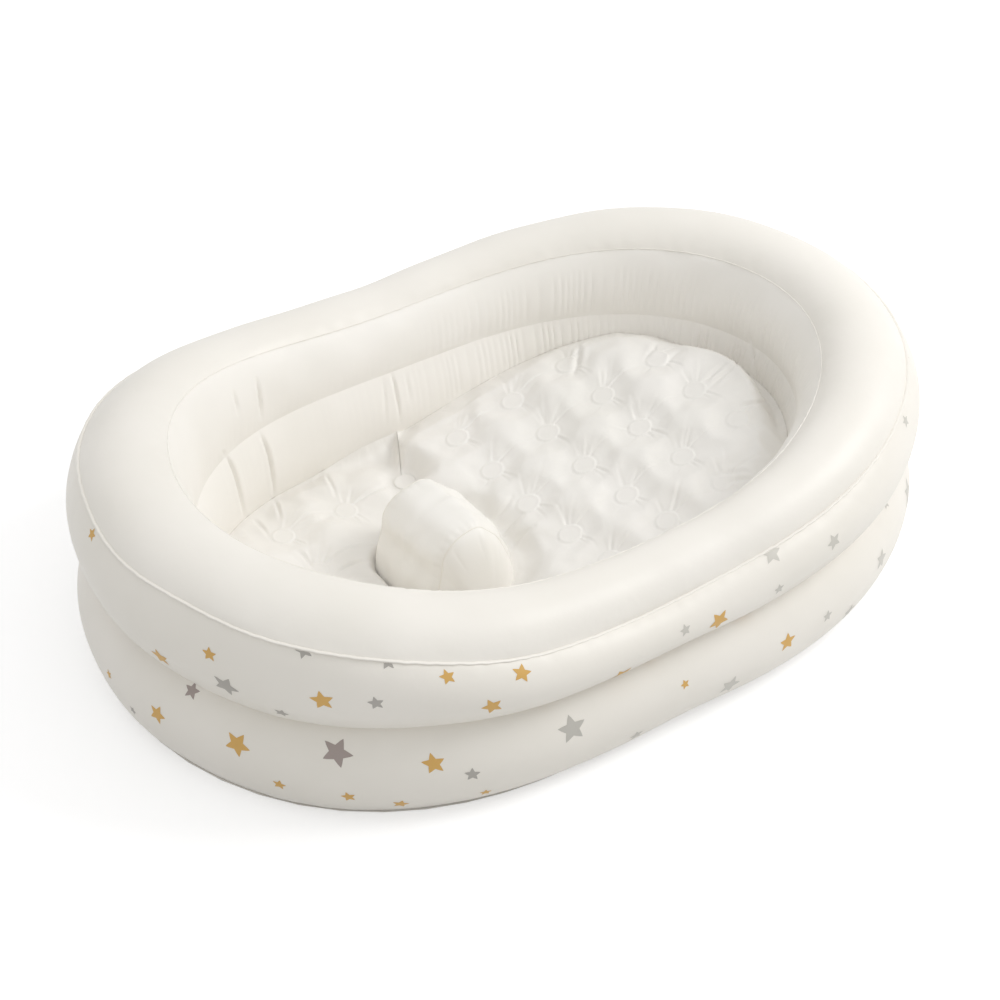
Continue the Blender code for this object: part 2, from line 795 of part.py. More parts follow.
upper = add_object("upper_chamber", sweep(upper_profile), "rim")
lower = add_object("lower_chamber", sweep(lower_profile), "wall")
add_object("partition_web", sweep(web_profile), "wall")
add_object("outer_rim_weld", sweep(outer_bead_profile), "rim")
add_object("inner_rim_weld", sweep(inner_bead_profile), "rim")

base_points = [to_world(angle, section(angle)["base"][0] + BASE_FLANGE, 0.0) for angle in ring_angles()]
base = add_object("base_sheet", prism([(point.x, point.y) for point in base_points], 0.0, SHEET), "floor")

seat_outline = cushion_outline(-1)
back_outline = cushion_outline(1)
seat_buttons = button_places(SEAT_FIRST_COLUMN, -SEAT_PITCH, seat_outline)
back_buttons = button_places(BACK_FIRST_COLUMN, BACK_PITCH, back_outline)
seat = cushion("seat_cushion", seat_outline, seat_buttons, seat_level, SEAT_TUFT_DEPTH,
               seat_edge, [SEAT_ROUND * share for share in SEAT_ROLL_SHARES])
back = cushion("backrest_cushion", back_outline, back_buttons, back_level, BACK_TUFT_DEPTH,
               back_edge, [BACK_ROUND * share for share in BACK_ROLL_SHARES])

horn = add_object("horn_body", loft(horn_loops(0.0, 0.0)), "floor")
horn_room = add_object("horn_room", loft(horn_loops(GAP, 2 * GAP + HORN_PANEL)), "floor")
near_panel = horn_panel("horn_end_near", -1)
far_panel = horn_panel("horn_end_far", 1)
cut(seat, [horn_room])
cut(back, [horn_room])

section_up = section(UPPER_VALVE_ANGLE)
upper_place = wall_place(UPPER_VALVE_ANGLE, section_up["seam"],
                         raised(section_up["groove"], SHEET / 2 + GAP), section_up["upper"])
cut(upper, valve("upper", upper_place))

section_low = section(LOWER_VALVE_ANGLE)
lower_place = wall_place(LOWER_VALVE_ANGLE, raised(section_low["groove"], -SHEET / 2 - GAP),
                         section_low["base"], section_low["lower"])
cut(lower, valve("lower", lower_place))

floor_spot = Vector((SEAT_FIRST_COLUMN - SEAT_PITCH * FLOOR_VALVE_COLUMN_SHARE,
                     ROW_PITCH * FLOOR_VALVE_ROW_SHARE, SEAT_TOP - VALVE_SINK))
cut(seat, valve("floor", Matrix.Translation(floor_spot)))

cap_y = HORN_HALF_LENGTH + HORN_DOME * dome_rise(DOME_SHARES[-1])
horn_turn = Matrix(((0, 1, 0), (0, 0, 1), (1, 0, 0))).to_4x4()
horn_spot = Matrix.Translation((HORN_CENTRE, cap_y + GAP, (HORN_FOOT + HORN_TOP) / 2))
horn_recess, horn_pocket = valve("horn", horn_spot @ horn_turn)
cut(far_panel, [horn_recess])
cut(horn, [horn_pocket])

drain_level = SEAT_TOP - VALVE_SINK
drain_place = Matrix.Translation((DRAIN_PLACE, 0, drain_level))
tube = DRAIN_RADIUS + DRAIN_WALL
drain = turned(((DRAIN_RADIUS, -drain_level), (tube, -drain_level), (tube, 0.0), (DRAIN_FLANGE, 0.0),
                (DRAIN_FLANGE, FLANGE_THICK), (DRAIN_RADIUS, FLANGE_THICK)), ROUND_SIDES, True)
add_object("drain_body", drain, "clear", drain_place)
stopper("drain_plug", DRAIN_HEAD, DRAIN_RADIUS - RUNNING_GAP, DRAIN_REACH,
        drain_place @ Matrix.Translation((0, 0, FLANGE_THICK)))
drain_recess = cylinder_cutter("drain_recess", DRAIN_FLANGE + GAP, -GAP, CUT_OVERRUN, drain_place)
drain_hole = cylinder_cutter("drain_hole", tube + GAP, -CUT_OVERRUN - drain_level, CUT_OVERRUN, drain_place)
cut(seat, [drain_recess, drain_hole])
cut(base, [drain_hole])
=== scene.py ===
import math

import bmesh
import bpy
import numpy as np
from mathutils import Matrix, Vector
from mathutils.geometry import delaunay_2d_cdt


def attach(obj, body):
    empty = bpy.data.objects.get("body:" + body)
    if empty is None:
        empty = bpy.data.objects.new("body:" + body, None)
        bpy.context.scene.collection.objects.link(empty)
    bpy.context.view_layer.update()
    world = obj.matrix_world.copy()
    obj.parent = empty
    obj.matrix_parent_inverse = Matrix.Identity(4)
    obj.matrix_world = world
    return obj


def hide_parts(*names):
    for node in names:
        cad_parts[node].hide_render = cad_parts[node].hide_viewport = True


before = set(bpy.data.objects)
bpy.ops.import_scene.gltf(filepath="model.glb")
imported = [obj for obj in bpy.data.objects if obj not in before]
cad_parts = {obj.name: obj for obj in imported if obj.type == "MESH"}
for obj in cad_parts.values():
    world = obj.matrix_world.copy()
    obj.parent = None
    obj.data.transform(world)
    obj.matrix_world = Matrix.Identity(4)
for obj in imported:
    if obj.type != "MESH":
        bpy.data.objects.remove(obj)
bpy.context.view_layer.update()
scene = bpy.context.scene
print("frame loaded")

# the tub's ring, with the same sizes as its solids, in metres
ring = dict(
    halfLength=0.414, halfWidth=0.279, waist=0.0033,
    eggShift=-0.0046, eggTaper=0.0028, eggRound=0.0017,
    seamHeight=0.145, seamFootRise=0.052, seamHeadRise=0.042,
    topWidth=0.062, topEndExtra=0.021,
    innerSeamHeight=0.168, innerFootRise=0.044, innerHeadRise=0.027,
    crownRise=0.0215, crownFootFall=0.008,
    upperBulge=0.023, upperEndFall=0.003,
    grooveHeight=0.097, grooveInset=0.004, grooveEndInset=0.007,
    innerGrooveHeight=0.112, innerGrooveHeadRise=0.014, innerGrooveStep=0.020,
    innerBulge=0.008, lowerBulge=0.027, lowerFootFall=0.007,
    baseInset=0.006, baseHeadInset=0.013, lowerInnerBulge=0.013, baseInnerStep=0.004,
    sheet=0.0006, gap=0.0003,
    # where the rim seam rides up or down as in the photo: degrees from the head end, slide and spread
    seamSlides=((73, 0.0052, 24), (122, -0.0032, 11), (167, 0.0038, 8)), slideInward=0.4,
    boxStations=64, boxSteps=6,
)
camera = dict(azimuth=-33.7, elevation=38.4, distance=3.1102, lens=117.475,
              aim=(-0.020, -0.0212, 0.100), pixels=1000, sensor=36.0)


def planRadius(angle):
    r = ring
    mean = (r["halfLength"] + r["halfWidth"]) / 2 + r["waist"]
    return (mean + r["eggShift"] * np.cos(angle)
            + (r["halfLength"] - r["halfWidth"]) / 2 * np.cos(2 * angle)
            + r["eggTaper"] * np.cos(3 * angle) - r["waist"] * np.cos(4 * angle)
            + r["eggRound"] * np.cos(5 * angle))


def planFrame(angle):
    angle = np.asarray(angle, float)
    step = 1e-4
    spot = planRadius(angle)[..., None] * np.stack((np.cos(angle), np.sin(angle)), -1)
    ahead = angle + step
    after = planRadius(ahead)[..., None] * np.stack((np.cos(ahead), np.sin(ahead)), -1)
    along = after - spot
    along = along / np.linalg.norm(along, axis=-1, keepdims=True)
    return spot, np.stack((along[..., 1], -along[..., 0]), -1)


def endShares(angle):
    spot, _ = planFrame(angle)
    reach = np.minimum(1.0, np.abs(spot[..., 0]) / ring["halfLength"])
    share = reach * reach * (3 - 2 * reach)
    atHead = np.cos(angle) > 0
    return np.where(atHead, 0.0, share), np.where(atHead, share, 0.0)


def seamSlide(angle):
    fromHead = np.degrees(np.abs(np.angle(np.exp(1j * np.asarray(angle, float)))))
    return sum(slide * np.exp(-((fromHead - middle) / spread) ** 2)
               for middle, slide, spread in ring["seamSlides"])


def corners(angle):
    r = ring
    foot, head = endShares(angle)
    both = foot + head
    slide = seamSlide(angle)
    flat = np.zeros_like(both)
    innerSeam = -(r["topWidth"] + r["topEndExtra"] * both)
    innerGroove = innerSeam - r["innerGrooveStep"]
    bottom = flat + r["sheet"] + r["gap"]
    return dict(
        seam=np.stack((flat - r["slideInward"] * slide,
                       r["seamHeight"] + r["seamFootRise"] * foot + r["seamHeadRise"] * head + slide), -1),
        innerSeam=np.stack((innerSeam, r["innerSeamHeight"] + r["innerFootRise"] * foot
                            + r["innerHeadRise"] * head), -1),
        groove=np.stack((-(r["grooveInset"] + r["grooveEndInset"] * both), flat + r["grooveHeight"]), -1),
        innerGroove=np.stack((innerGroove, r["innerGrooveHeight"] + r["innerGrooveHeadRise"] * head), -1),
        base=np.stack((-(r["baseInset"] + r["baseHeadInset"] * head), bottom), -1),
        innerBase=np.stack((innerGroove + r["baseInnerStep"], bottom), -1),
        crown=r["crownRise"] - r["crownFootFall"] * foot,
        upper=r["upperBulge"] - r["upperEndFall"] * both,
        lower=r["lowerBulge"] - r["lowerFootFall"] * foot,
        inner=flat + r["innerBulge"],
        lowerInner=flat + r["lowerInnerBulge"],
    )


def arcAt(start, end, rise, share):
    # a point at share of the way along an arc that bulges to the left
    chord = end - start
    length = np.linalg.norm(chord, axis=-1)
    across = np.stack((-chord[..., 1], chord[..., 0]), -1) / length[..., None]
    radius = (length ** 2 / 4 + rise ** 2) / (2 * rise)
    half = np.arctan2(length / 2, radius - rise)
    turn = (share - 0.5) * 2 * half
    along = radius * np.sin(turn) / length + 0.5
    out = radius * np.cos(turn) - (radius - rise)
    return start + along[..., None] * chord + out[..., None] * across


def arcLength(start, end, rise):
    length = np.linalg.norm(end - start, axis=-1)
    radius = (length ** 2 / 4 + rise ** 2) / (2 * rise)
    return 2 * radius * np.arctan2(length / 2, radius - rise)


def spreadCorners(angle):
    # the section's corners, with room for steps along the section
    c = corners(angle)
    return {key: (value[:, None] if value.ndim == 1 else value[:, None, :]) for key, value in c.items()}


halfSheet = ring["sheet"] / 2 + ring["gap"]


def boxShift():
    # how far the middle of the tub's box lies off the plan's own
    stations, steps = ring["boxStations"], ring["boxSteps"]
    angle = np.arange(stations) * 2 * math.pi / stations
    spot, out = planFrame(angle)
    c = spreadCorners(angle)
    share = np.broadcast_to(np.arange(steps + 1)[None] / steps, (stations, steps + 1))
    upper = arcAt(c["seam"], c["groove"] + (0, halfSheet), c["upper"], share)
    lower = arcAt(c["groove"] - (0, halfSheet), c["base"], c["lower"], share)
    widest = np.maximum(upper[..., 0].max(1), lower[..., 0].max(1))
    reach = spot + out * widest[:, None]
    return (reach.max(0) + reach.min(0)) / 2


middleShift = boxShift()


def place(angle, point):
    spot, out = planFrame(angle)
    flat = spot + out * point[..., :1] - middleShift
    return np.concatenate((flat, point[..., 1:]), -1)


def waves(x, y, scale, seed, count=7):
    # smooth seeded unevenness, about -1 to 1
    rng = np.random.default_rng(seed)
    total = 0
    for _ in range(count):
        turn = rng.uniform(0, 2 * math.pi)
        size = 2 * math.pi / scale * rng.uniform(0.6, 1.5)
        total = total + np.sin(size * (x * math.cos(turn) + y * math.sin(turn)) + rng.uniform(0, 6.283))
    return total / count ** 0.5


def smooth(low, high, x):
    t = np.clip((x - low) / (high - low), 0, 1)
    return t * t * (3 - 2 * t)


def makeMesh(name, points, faces, materials, tags=None):
    mesh = bpy.data.meshes.new(name)
    mesh.from_pydata([tuple(p) for p in points], [], faces)
    for material in materials:
        mesh.materials.append(material)
    if tags is not None:
        mesh.polygons.foreach_set("material_index", np.asarray(tags, np.int32))
    mesh.validate()
    mesh.update()
    mesh.shade_smooth()
    item = bpy.data.objects.new(name, mesh)
    scene.collection.objects.link(item)
    return item


def gridFaces(rows, columns, closeRows, closeColumns):
    r = np.arange(rows if closeRows else rows - 1)
    c = np.arange(columns if closeColumns else columns - 1)
    a, b = np.meshgrid(r, c, indexing="ij")
    up = (a + 1) % rows
    side = (b + 1) % columns
    quads = np.stack((a * columns + b, a * columns + side, up * columns + side, up * columns + b), -1)
    return quads.reshape(-1, 4)


def facesOut(item):
    bm = bmesh.new()
    bm.from_mesh(item.data)
    bmesh.ops.recalc_face_normals(bm, faces=bm.faces)
    if bm.calc_volume(signed=True) < 0:
        bmesh.ops.reverse_faces(bm, faces=bm.faces)
    bm.to_mesh(item.data)
    bm.free()
    item.data.update()


def sharpEdges(item, degrees):
    item.data.set_sharp_from_angle(angle=math.radians(degrees))


vinyl = dict(
    # inside: the film's own off-white, raised further as painted light that lifts the shaded inner walls
    rim=(0.856, 0.825, 0.768), wall=(0.850, 0.816, 0.754), inside=(0.905, 0.879, 0.834),
    # horn: the floor film's colour painted lighter, as painted light on the horn
    floor=(0.828, 0.806, 0.768), horn=(0.872, 0.850, 0.808), fitting=(0.80, 0.80, 0.77),
    roughness=0.47, coat=0.12, coatRoughness=0.32, refraction=1.5,
    # scale and detail of each kind of unevenness
    clouds=(9.0, 3.0), sheenPatches=(28.0, 4.0), grain=(900.0, 2.0), dents=(42.0, 3.0),
    cloudRange=(0.3, 0.7), lighten=0.6, yellow=0.4, sheenRange=(-0.04, 0.08),
    grainStrength=0.12, grainDepth=0.0001, dentDepth=0.0012,
)


def addNode(tree, kind, **values):
    node = tree.nodes.new("ShaderNode" + kind)
    for label, value in values.items():
        node.inputs[label].default_value = value
    return node


def addNoise(tree, scale, detail):
    where = addNode(tree, "TexCoord")
    noise = addNode(tree, "TexNoise", Scale=scale, Detail=detail)
    tree.links.new(where.outputs["Object"], noise.inputs["Vector"])
    return noise.outputs["Fac"]


def addVinyl(name, colour, roughness, crease=0.35, tone=0.03):
    # soft film: a faint mottled colour, uneven sheen, soft dents and a fine calendered grain
    material = bpy.data.materials.new(name)
    material.use_nodes = True
    tree = material.node_tree
    link = tree.links.new
    shader = tree.nodes["Principled BSDF"]
    blend = addNode(tree, "ValToRGB")
    low, high = blend.color_ramp.elements
    low.position, high.position = vinyl["cloudRange"]
    dark = [c * (1 - tone) for c in colour]
    light = [min(1.0, c * (1 + tone * vinyl["lighten"])) for c in colour]
    dark[2] *= 1 - tone * vinyl["yellow"]
    low.color = (*dark, 1)
    high.color = (*light, 1)
    link(addNoise(tree, *vinyl["clouds"]), blend.inputs["Fac"])
    link(blend.outputs["Color"], shader.inputs["Base Color"])
    duller, glossier = vinyl["sheenRange"][1], vinyl["sheenRange"][0]
    sheen = addNode(tree, "MapRange", **{"To Min": roughness + glossier, "To Max": roughness + duller})
    link(addNoise(tree, *vinyl["sheenPatches"]), sheen.inputs["Value"])
    link(sheen.outputs["Result"], shader.inputs["Roughness"])
    fine = addNode(tree, "Bump", Strength=vinyl["grainStrength"], Distance=vinyl["grainDepth"])
    link(addNoise(tree, *vinyl["grain"]), fine.inputs["Height"])
    dents = addNode(tree, "Bump", Strength=crease, Distance=vinyl["dentDepth"])
    link(addNoise(tree, *vinyl["dents"]), dents.inputs["Height"])
    link(fine.outputs["Normal"], dents.inputs["Normal"])
    link(dents.outputs["Normal"], shader.inputs["Normal"])
    shader.inputs["Coat Weight"].default_value = vinyl["coat"]
    shader.inputs["Coat Roughness"].default_value = vinyl["coatRoughness"]
    shader.inputs["IOR"].default_value = vinyl["refraction"]
    return material


rimVinyl = addVinyl("rimVinyl", vinyl["rim"], vinyl["roughness"])
wallVinyl = addVinyl("wallVinyl", vinyl["wall"], vinyl["roughness"])
# the inner walls' own off-white plus painted light: the colour is raised to lighten their shade
insideTintAndPaintedLightVinyl = addVinyl("insideTintAndPaintedLightVinyl", vinyl["inside"], vinyl["roughness"] + 0.05)
floorVinyl = addVinyl("floorVinyl", vinyl["floor"], vinyl["roughness"] + 0.04)
weldVinyl = addVinyl("weldVinyl", vinyl["rim"], vinyl["roughness"] - 0.06, 0.15)
print("vinyl mixed")


def cameraAxes():
    a, e = math.radians(camera["azimuth"]), math.radians(camera["elevation"])
    back = np.array((math.sin(a) * math.cos(e), -math.cos(a) * math.cos(e), math.sin(e)))
    right = np.array((math.cos(a), math.sin(a), 0.0))
    return right, np.cross(back, right), back


def cameraTarget():
    return np.array(camera["aim"]) - np.array((*middleShift, 0.0))


def onPhoto(points):
    # where points of the tub fall in the photograph, in pixels
    right, up, back = cameraAxes()
    rel = points - (cameraTarget() + back * camera["distance"])
    away = -(rel @ back)
    focal = camera["lens"] / camera["sensor"] * camera["pixels"]
    half = camera["pixels"] / 2
    return np.stack((half + focal * (rel @ right) / away, half - focal * (rel @ up) / away), -1)


# each lone crease of the photo: the pixels it starts at, bends by and ends at, its depth in metres
# and its half width in pixels

seenCreases = dict(
    leftUpper=((234, 392), (237, 402), (238, 414), 0.0022, 1.5),
    leftUpperNext=((257, 379), (261, 396), (261, 417), 0.0028, 1.5),
    leftLower=((224, 453), (238, 468), (244, 515), 0.0040, 1.5),
    leftLowerNext=((261, 436), (273, 453), (274, 493), 0.0036, 1.5),
    farLowerOne=((383, 380), (386, 400), (386, 420), 0.0012, 1.6),
    farLowerTwo=((391, 374), (398, 392), (400, 420), 0.0022, 1.5),
    farLowerThree=((405, 374), (409, 388), (410, 402), 0.0010, 1.5),
    headJoint=((750, 334), (752, 352), (754, 372), 0.0022, 1.5),
    seatNearFold=((360, 500), (371, 490), (387, 486), 0.0016, 1.6),
    seatWallOne=((322, 471), (332, 481), (336, 496), 0.0015, 1.5),
    seatWallTwo=((272, 497), (279, 506), (280, 518), 0.0015, 1.5),
    seatWallThree=((248, 517), (262, 524), (268, 536), 0.0015, 1.5),
    seatFront=((297, 551), (307, 557), (312, 567), 0.0016, 1.6),
    seatByHorn=((336, 575), (348, 562), (367, 561), 0.0015, 1.5),
    seatMiddle=((293, 530), (312, 523), (329, 518), 0.0010, 2.0),
    byHornOne=((494, 520), (503, 512), (512, 497), 0.0018, 1.8),
    byHornTwo=((502, 535), (511, 524), (522, 514), 0.0018, 1.8),
    byHornThree=((512, 549), (518, 536), (534, 526), 0.0018, 1.8),
    topWedge=((579, 346), (580, 358), (574, 372), 0.0030, 2.4),
    topPleatOne=((646, 359), (650, 350), (659, 343), 0.0014, 1.8),
    topPleatTwo=((665, 366), (671, 355), (684, 349), 0.0014, 1.8),
    topPleatThree=((706, 381), (712, 372), (725, 364), 0.0016, 1.6),
    topPleatFour=((710, 387), (724, 374), (740, 361), 0.0018, 1.6),
    sidePleat=((741, 406), (754, 402), (768, 402), 0.0018, 1.6),
    nearPleatOne=((716, 476), (732, 469), (752, 472), 0.0018, 1.8),
    nearPleatTwo=((729, 483), (738, 478), (750, 479), 0.0014, 1.6),
)


creaseShape = dict(steps=9, around=12, ends=(0.05, 0.95), taper=0.6, lipAway=2.4, lipWidth=1.4,
                   wallLip=0.12, floorLip=0.35, facing=0.05)


def creaseMoves(points, lip):
    # how far the lone creases pull the given points in, with a raised lip beside each
    spots = onPhoto(points.reshape(-1, 3))
    total = np.zeros(len(spots))
    t = np.linspace(0, 1, creaseShape["steps"])[:, None]
    around = creaseShape["around"]
    for start, bend, end, depth, width in seenCreases.values():
        start, bend, end = (np.array(pixel, dtype=float) for pixel in (start, bend, end))
        line = start * (1 - t) ** 2 + bend * 2 * t * (1 - t) + end * t ** 2
        near = (spots > line.min(0) - around).all(1) & (spots < line.max(0) + around).all(1)
        rel = spots[near][:, None] - line[None, :-1]
        run = np.diff(line, axis=0)
        share = np.clip((rel * run[None]).sum(2) / (run ** 2).sum(1)[None], 0, 1)
        gaps = np.linalg.norm(rel - share[..., None] * run[None], axis=2)
        piece = gaps.argmin(1)
        gap = gaps.min(1)
        along = (piece + share[np.arange(len(piece)), piece]) / len(run)
        strength = np.sin(math.pi * np.clip(along, *creaseShape["ends"])) ** creaseShape["taper"]
        lipGap = (gap - creaseShape["lipAway"] * width) / (creaseShape["lipWidth"] * width)
        total[near] += depth * strength * (lip * np.exp(-lipGap ** 2) - np.exp(-(gap / width) ** 2))
    return total.reshape(points.shape[:-1])


# the air rings

skin = dict(
    stations=1440, wallSteps=34, innerSteps=30, crownSteps=30, underSteps=4, tuck=0.0018, sharpAngle=34,
    # gathers of the inner walls, strongest round the head end
    pleatSpacing=0.0086, pleatDepth=0.0010, pleatLean=0.004,
    lowerSpacing=0.0078, lowerPleatDepth=0.0014, lowerLean=-0.003, lowerEverywhere=0.08,
    headRise=(0.0, 0.16), headFall=(0.45, 0.86), startRise=(0, 0.1), footPleats=0.30, footFall=(0.1, 0.5),
    sidePleats=0.10, sideFall=(0.1, 0.4), lowerRise=(0.35, 0.75), lowerFall=(0.93, 1.0),
    headReach=(0.75, 1.75), footReach=(0.5, 1.3),
    wander=0.5, wanderLength=7, deep=0.72, deepSpread=0.22, deepLength=4, pleatSharp=0.7,
    deepest=(0.03, 1.3),
    # soft dents, and puckers beside the seams
    softDents=0.0006, dentLength=0.09, wallTall=0.1, puckers=0.00028, wallPucker=0.016, wallNear=0.12,
    innerDents=0.00035, innerLength=0.06, innerTall=0.08,
    crownDents=0.0005, crownLength=0.12, crownWide=0.1, crownPucker=0.02, crownNear=0.1,
    outerNear=0.08, outerPuckers=0.6,
)
ringAngle = np.arange(skin["stations"]) * 2 * math.pi / skin["stations"]


def sectionArc(c, start, end, rise, steps):
    share = np.linspace(0, 1, steps + 1)[None]
    flat = np.zeros((len(c["crown"]), 1))
    return arcAt(c[start], c[end], c[rise], share + flat)


def roundLength():
    # distance along the inner seam, from the head end
    c = corners(ringAngle)
    p = place(ringAngle, c["innerSeam"])
    step = np.linalg.norm(np.roll(p, -1, 0) - p, axis=1)
    return np.concatenate(((0,), np.cumsum(step)))[:-1], step.sum()


alongRing, ringRound = roundLength()


def ringWaves(run, other, scale, seed, count=7):
    # like waves, but it meets itself after one turn round the tub
    rng = np.random.default_rng(seed)
    total = 0
    for _ in range(count):
        turn = rng.uniform(0, 2 * math.pi)
        size = 2 * math.pi / scale * rng.uniform(0.6, 1.5)
        beats = round(size * math.cos(turn) * ringRound / (2 * math.pi))
        total = total + np.sin(beats * 2 * math.pi / ringRound * run + size * math.sin(turn) * other
                               + rng.uniform(0, 6.283))
    return total / count ** 0.5


def headEnd(angle):
    # 1 round the inside of the head end, fading along the sides
    turn = np.abs((angle + math.pi) % (2 * math.pi) - math.pi)
    return 1 - smooth(*skin["headReach"], turn)


def footEnd(angle):
    turn = np.abs(angle - math.pi)
    return 1 - smooth(*skin["footReach"], turn)


def pleats(distance, spacing, seed):
    # sharp gathers with uneven spacing and depth, 0 on a ridge to -1 in a fold
    spacing = ringRound / round(ringRound / spacing)
    wander = ringWaves(distance, 0 * distance, spacing * skin["wanderLength"], seed)
    moved = distance + skin["wander"] * spacing * wander
    ridge = np.abs(np.sin(math.pi * moved / spacing))
    spread = ringWaves(distance, 0 * distance, spacing * skin["deepLength"], seed + 1)
    depth = skin["deep"] + skin["deepSpread"] * spread
    return -(1 - ridge ** skin["pleatSharp"]) * np.clip(depth, *skin["deepest"])


def skinNormals(points):
    # outward normals of a station by step grid that closes on itself both ways
    alongSection = np.roll(points, -1, 1) - np.roll(points, 1, 1)
    alongTub = np.roll(points, -1, 0) - np.roll(points, 1, 0)
    normal = np.cross(alongSection, alongTub)
    return normal / np.linalg.norm(normal, axis=-1, keepdims=True)


def wallDents(angle, share):
    # shallow unevenness of the printed wall, and puckers that start at the groove and the rim seam
    around = angle * ringRound / (2 * math.pi)
    big = skin["softDents"] * ringWaves(around, share * skin["wallTall"], skin["dentLength"], 11)
    near = skin["wallNear"]
    nearSeam = np.exp(-((share % 1.0) / near) ** 2) + np.exp(-((1 - share % 1.0) / near) ** 2)
    small = skin["puckers"] * ringWaves(around, 0 * around, skin["wallPucker"], 12) * np.clip(nearSeam, 0, 1)
    return big + small


def wallArc(c, shareDown):
    # the printed sheet: share 0 to 1 from the rim seam to the groove, 1 to 2 from there to the base
    upper = arcAt(c["seam"], c["groove"], c["upper"], np.clip(shareDown, 0, 1))
    lower = arcAt(c["groove"], c["base"], c["lower"], np.clip(shareDown - 1, 0, 1))
    return np.where((shareDown < 1)[..., None], upper, lower)


def fade(share, low=0.06, high=0.94):
    return smooth(0, low, share) * (1 - smooth(high, 1, share))


def innerCreases(points, normal, first, count):
    # the lone creases, only where the wall faces the camera
    facing = (normal[:, first:first + count] @ cameraAxes()[2]) * np.sign(normal[0, 0, 0])
    moves = creaseMoves(points[:, first:first + count], creaseShape["wallLip"])
    return moves * (facing > creaseShape["facing"])


def restingFace(c, lift):
    # the face on the sheet between the rings: outwards to inwards above it, the other way below it
    along = c["innerGroove"] - c["groove"]
    along = along / np.linalg.norm(along, axis=-1, keepdims=True)
    start = c["groove"] + along * skin["tuck"] + (0, lift)
    end = c["innerGroove"] - along * skin["tuck"] + (0, lift)
    if lift < 0:
        start, end = end, start
    mix = np.linspace(0, 1, skin["underSteps"] + 1)[None, :, None]
    return start * (1 - mix) + end * mix


def blowUp(name, points, materials, tag):
    faces = gridFaces(skin["stations"], points.shape[1], True, True)
    item = makeMesh(name, points.reshape(-1, 3), faces.tolist(), materials, np.tile(tag, skin["stations"]))
    facesOut(item)
    sharpEdges(item, skin["sharpAngle"])
    return item


def makeUpperRing():
    c = spreadCorners(ringAngle)
    a = ringAngle[:, None]
    wallShare = np.linspace(0, 1, skin["wallSteps"] + 1)[None]
    wall = wallArc(c, wallShare + 0 * a)
    inner = sectionArc(c, "innerGroove", "innerSeam", "inner", skin["innerSteps"])
    crown = sectionArc(c, "innerSeam", "seam", "crown", skin["crownSteps"])
    section = np.concatenate((wall, restingFace(c, halfSheet), inner, crown[:, 1:-1]), 1)
    points = place(np.broadcast_to(a, section.shape[:2]), section)
    normal = skinNormals(points)
    move = np.zeros(section.shape[:2])
    nWall = skin["wallSteps"] + 1
    nInner = skin["innerSteps"] + 1
    nCrown = skin["crownSteps"] - 1
    first = nWall + skin["underSteps"] + 1
    move[:, :nWall] = wallDents(a + 0 * wallShare, wallShare + 0 * a) * fade(wallShare)
    share = np.linspace(0, 1, nInner)[None]
    distance = alongRing[:, None] + 0 * share
    gathers = pleats(distance + skin["pleatLean"] * share, skin["pleatSpacing"], 21)
    start = smooth(*skin["startRise"], share)
    strength = headEnd(a) * smooth(*skin["headRise"], share) * (1 - smooth(*skin["headFall"], share))
    strength = strength + skin["footPleats"] * footEnd(a) * (1 - smooth(*skin["footFall"], share)) * start
    strength = strength + skin["sidePleats"] * start * (1 - smooth(*skin["sideFall"], share))
    dents = ringWaves(distance, share * skin["innerTall"], skin["innerLength"], 23)
    move[:, first:first + nInner] = (
        skin["pleatDepth"] * gathers * strength + skin["innerDents"] * dents * fade(share)
        + innerCreases(points, normal, first, nInner) * fade(share))
    share = np.linspace(0, 1, skin["crownSteps"] + 1)[None, 1:-1]
    around = alongRing[:, None] + 0 * share
    dents = skin["crownDents"] * ringWaves(around, share * skin["crownWide"], skin["crownLength"], 31)
    small = skin["puckers"] * ringWaves(around, 0 * around, skin["crownPucker"], 32)
    near = (np.exp(-(share / skin["crownNear"]) ** 2)
            + skin["outerPuckers"] * np.exp(-((1 - share) / skin["outerNear"]) ** 2))
    move[:, -nCrown:] = (dents + small * near) * fade(share)
    side = np.arange(section.shape[1])
    tag = np.where(side < nWall - 1, 1, np.where(side < first + nInner - 1, 2, 0))
    return blowUp("upperRing", points + normal * move[..., None], [rimVinyl, wallVinyl, insideTintAndPaintedLightVinyl], tag)


def makeLowerRing():
    c = spreadCorners(ringAngle)
    a = ringAngle[:, None]
    wallShare = np.linspace(1, 2, skin["wallSteps"] + 1)[None]
    wall = wallArc(c, wallShare + 0 * a)
    inner = sectionArc(c, "innerBase", "innerGroove", "lowerInner", skin["innerSteps"])
    section = np.concatenate((wall, inner, restingFace(c, -halfSheet)), 1)
    points = place(np.broadcast_to(a, section.shape[:2]), section)
    normal = skinNormals(points)
    move = np.zeros(section.shape[:2])
    nWall = skin["wallSteps"] + 1
    nInner = skin["innerSteps"] + 1
    move[:, :nWall] = wallDents(a + 0 * wallShare, wallShare + 0 * a) * fade(wallShare - 1)
    share = np.linspace(0, 1, nInner)[None]
    distance = alongRing[:, None] + 0 * share
    gathers = pleats(distance + skin["lowerLean"] * share, skin["lowerSpacing"], 41)
    strength = headEnd(a) + skin["lowerEverywhere"]
    strength = strength * smooth(*skin["lowerRise"], share) * (1 - smooth(*skin["lowerFall"], share))
    move[:, nWall:nWall + nInner] = (skin["lowerPleatDepth"] * gathers * strength
                                     + innerCreases(points, normal, nWall, nInner) * fade(share))
    tag = np.where(np.arange(section.shape[1]) < nWall - 1, 0, 1)
    return blowUp("lowerRing", points + normal * move[..., None], [wallVinyl, insideTintAndPaintedLightVinyl], tag)


# the film lies flat beneath the flange of each valve and of the drain, and opens into the drain's bore

bedding = dict(reach=0.012, flat=0.0015, spread=0.011, sink=0.0002, rimShare=0.97,
               boreShare=0.512, boreDrop=0.021)


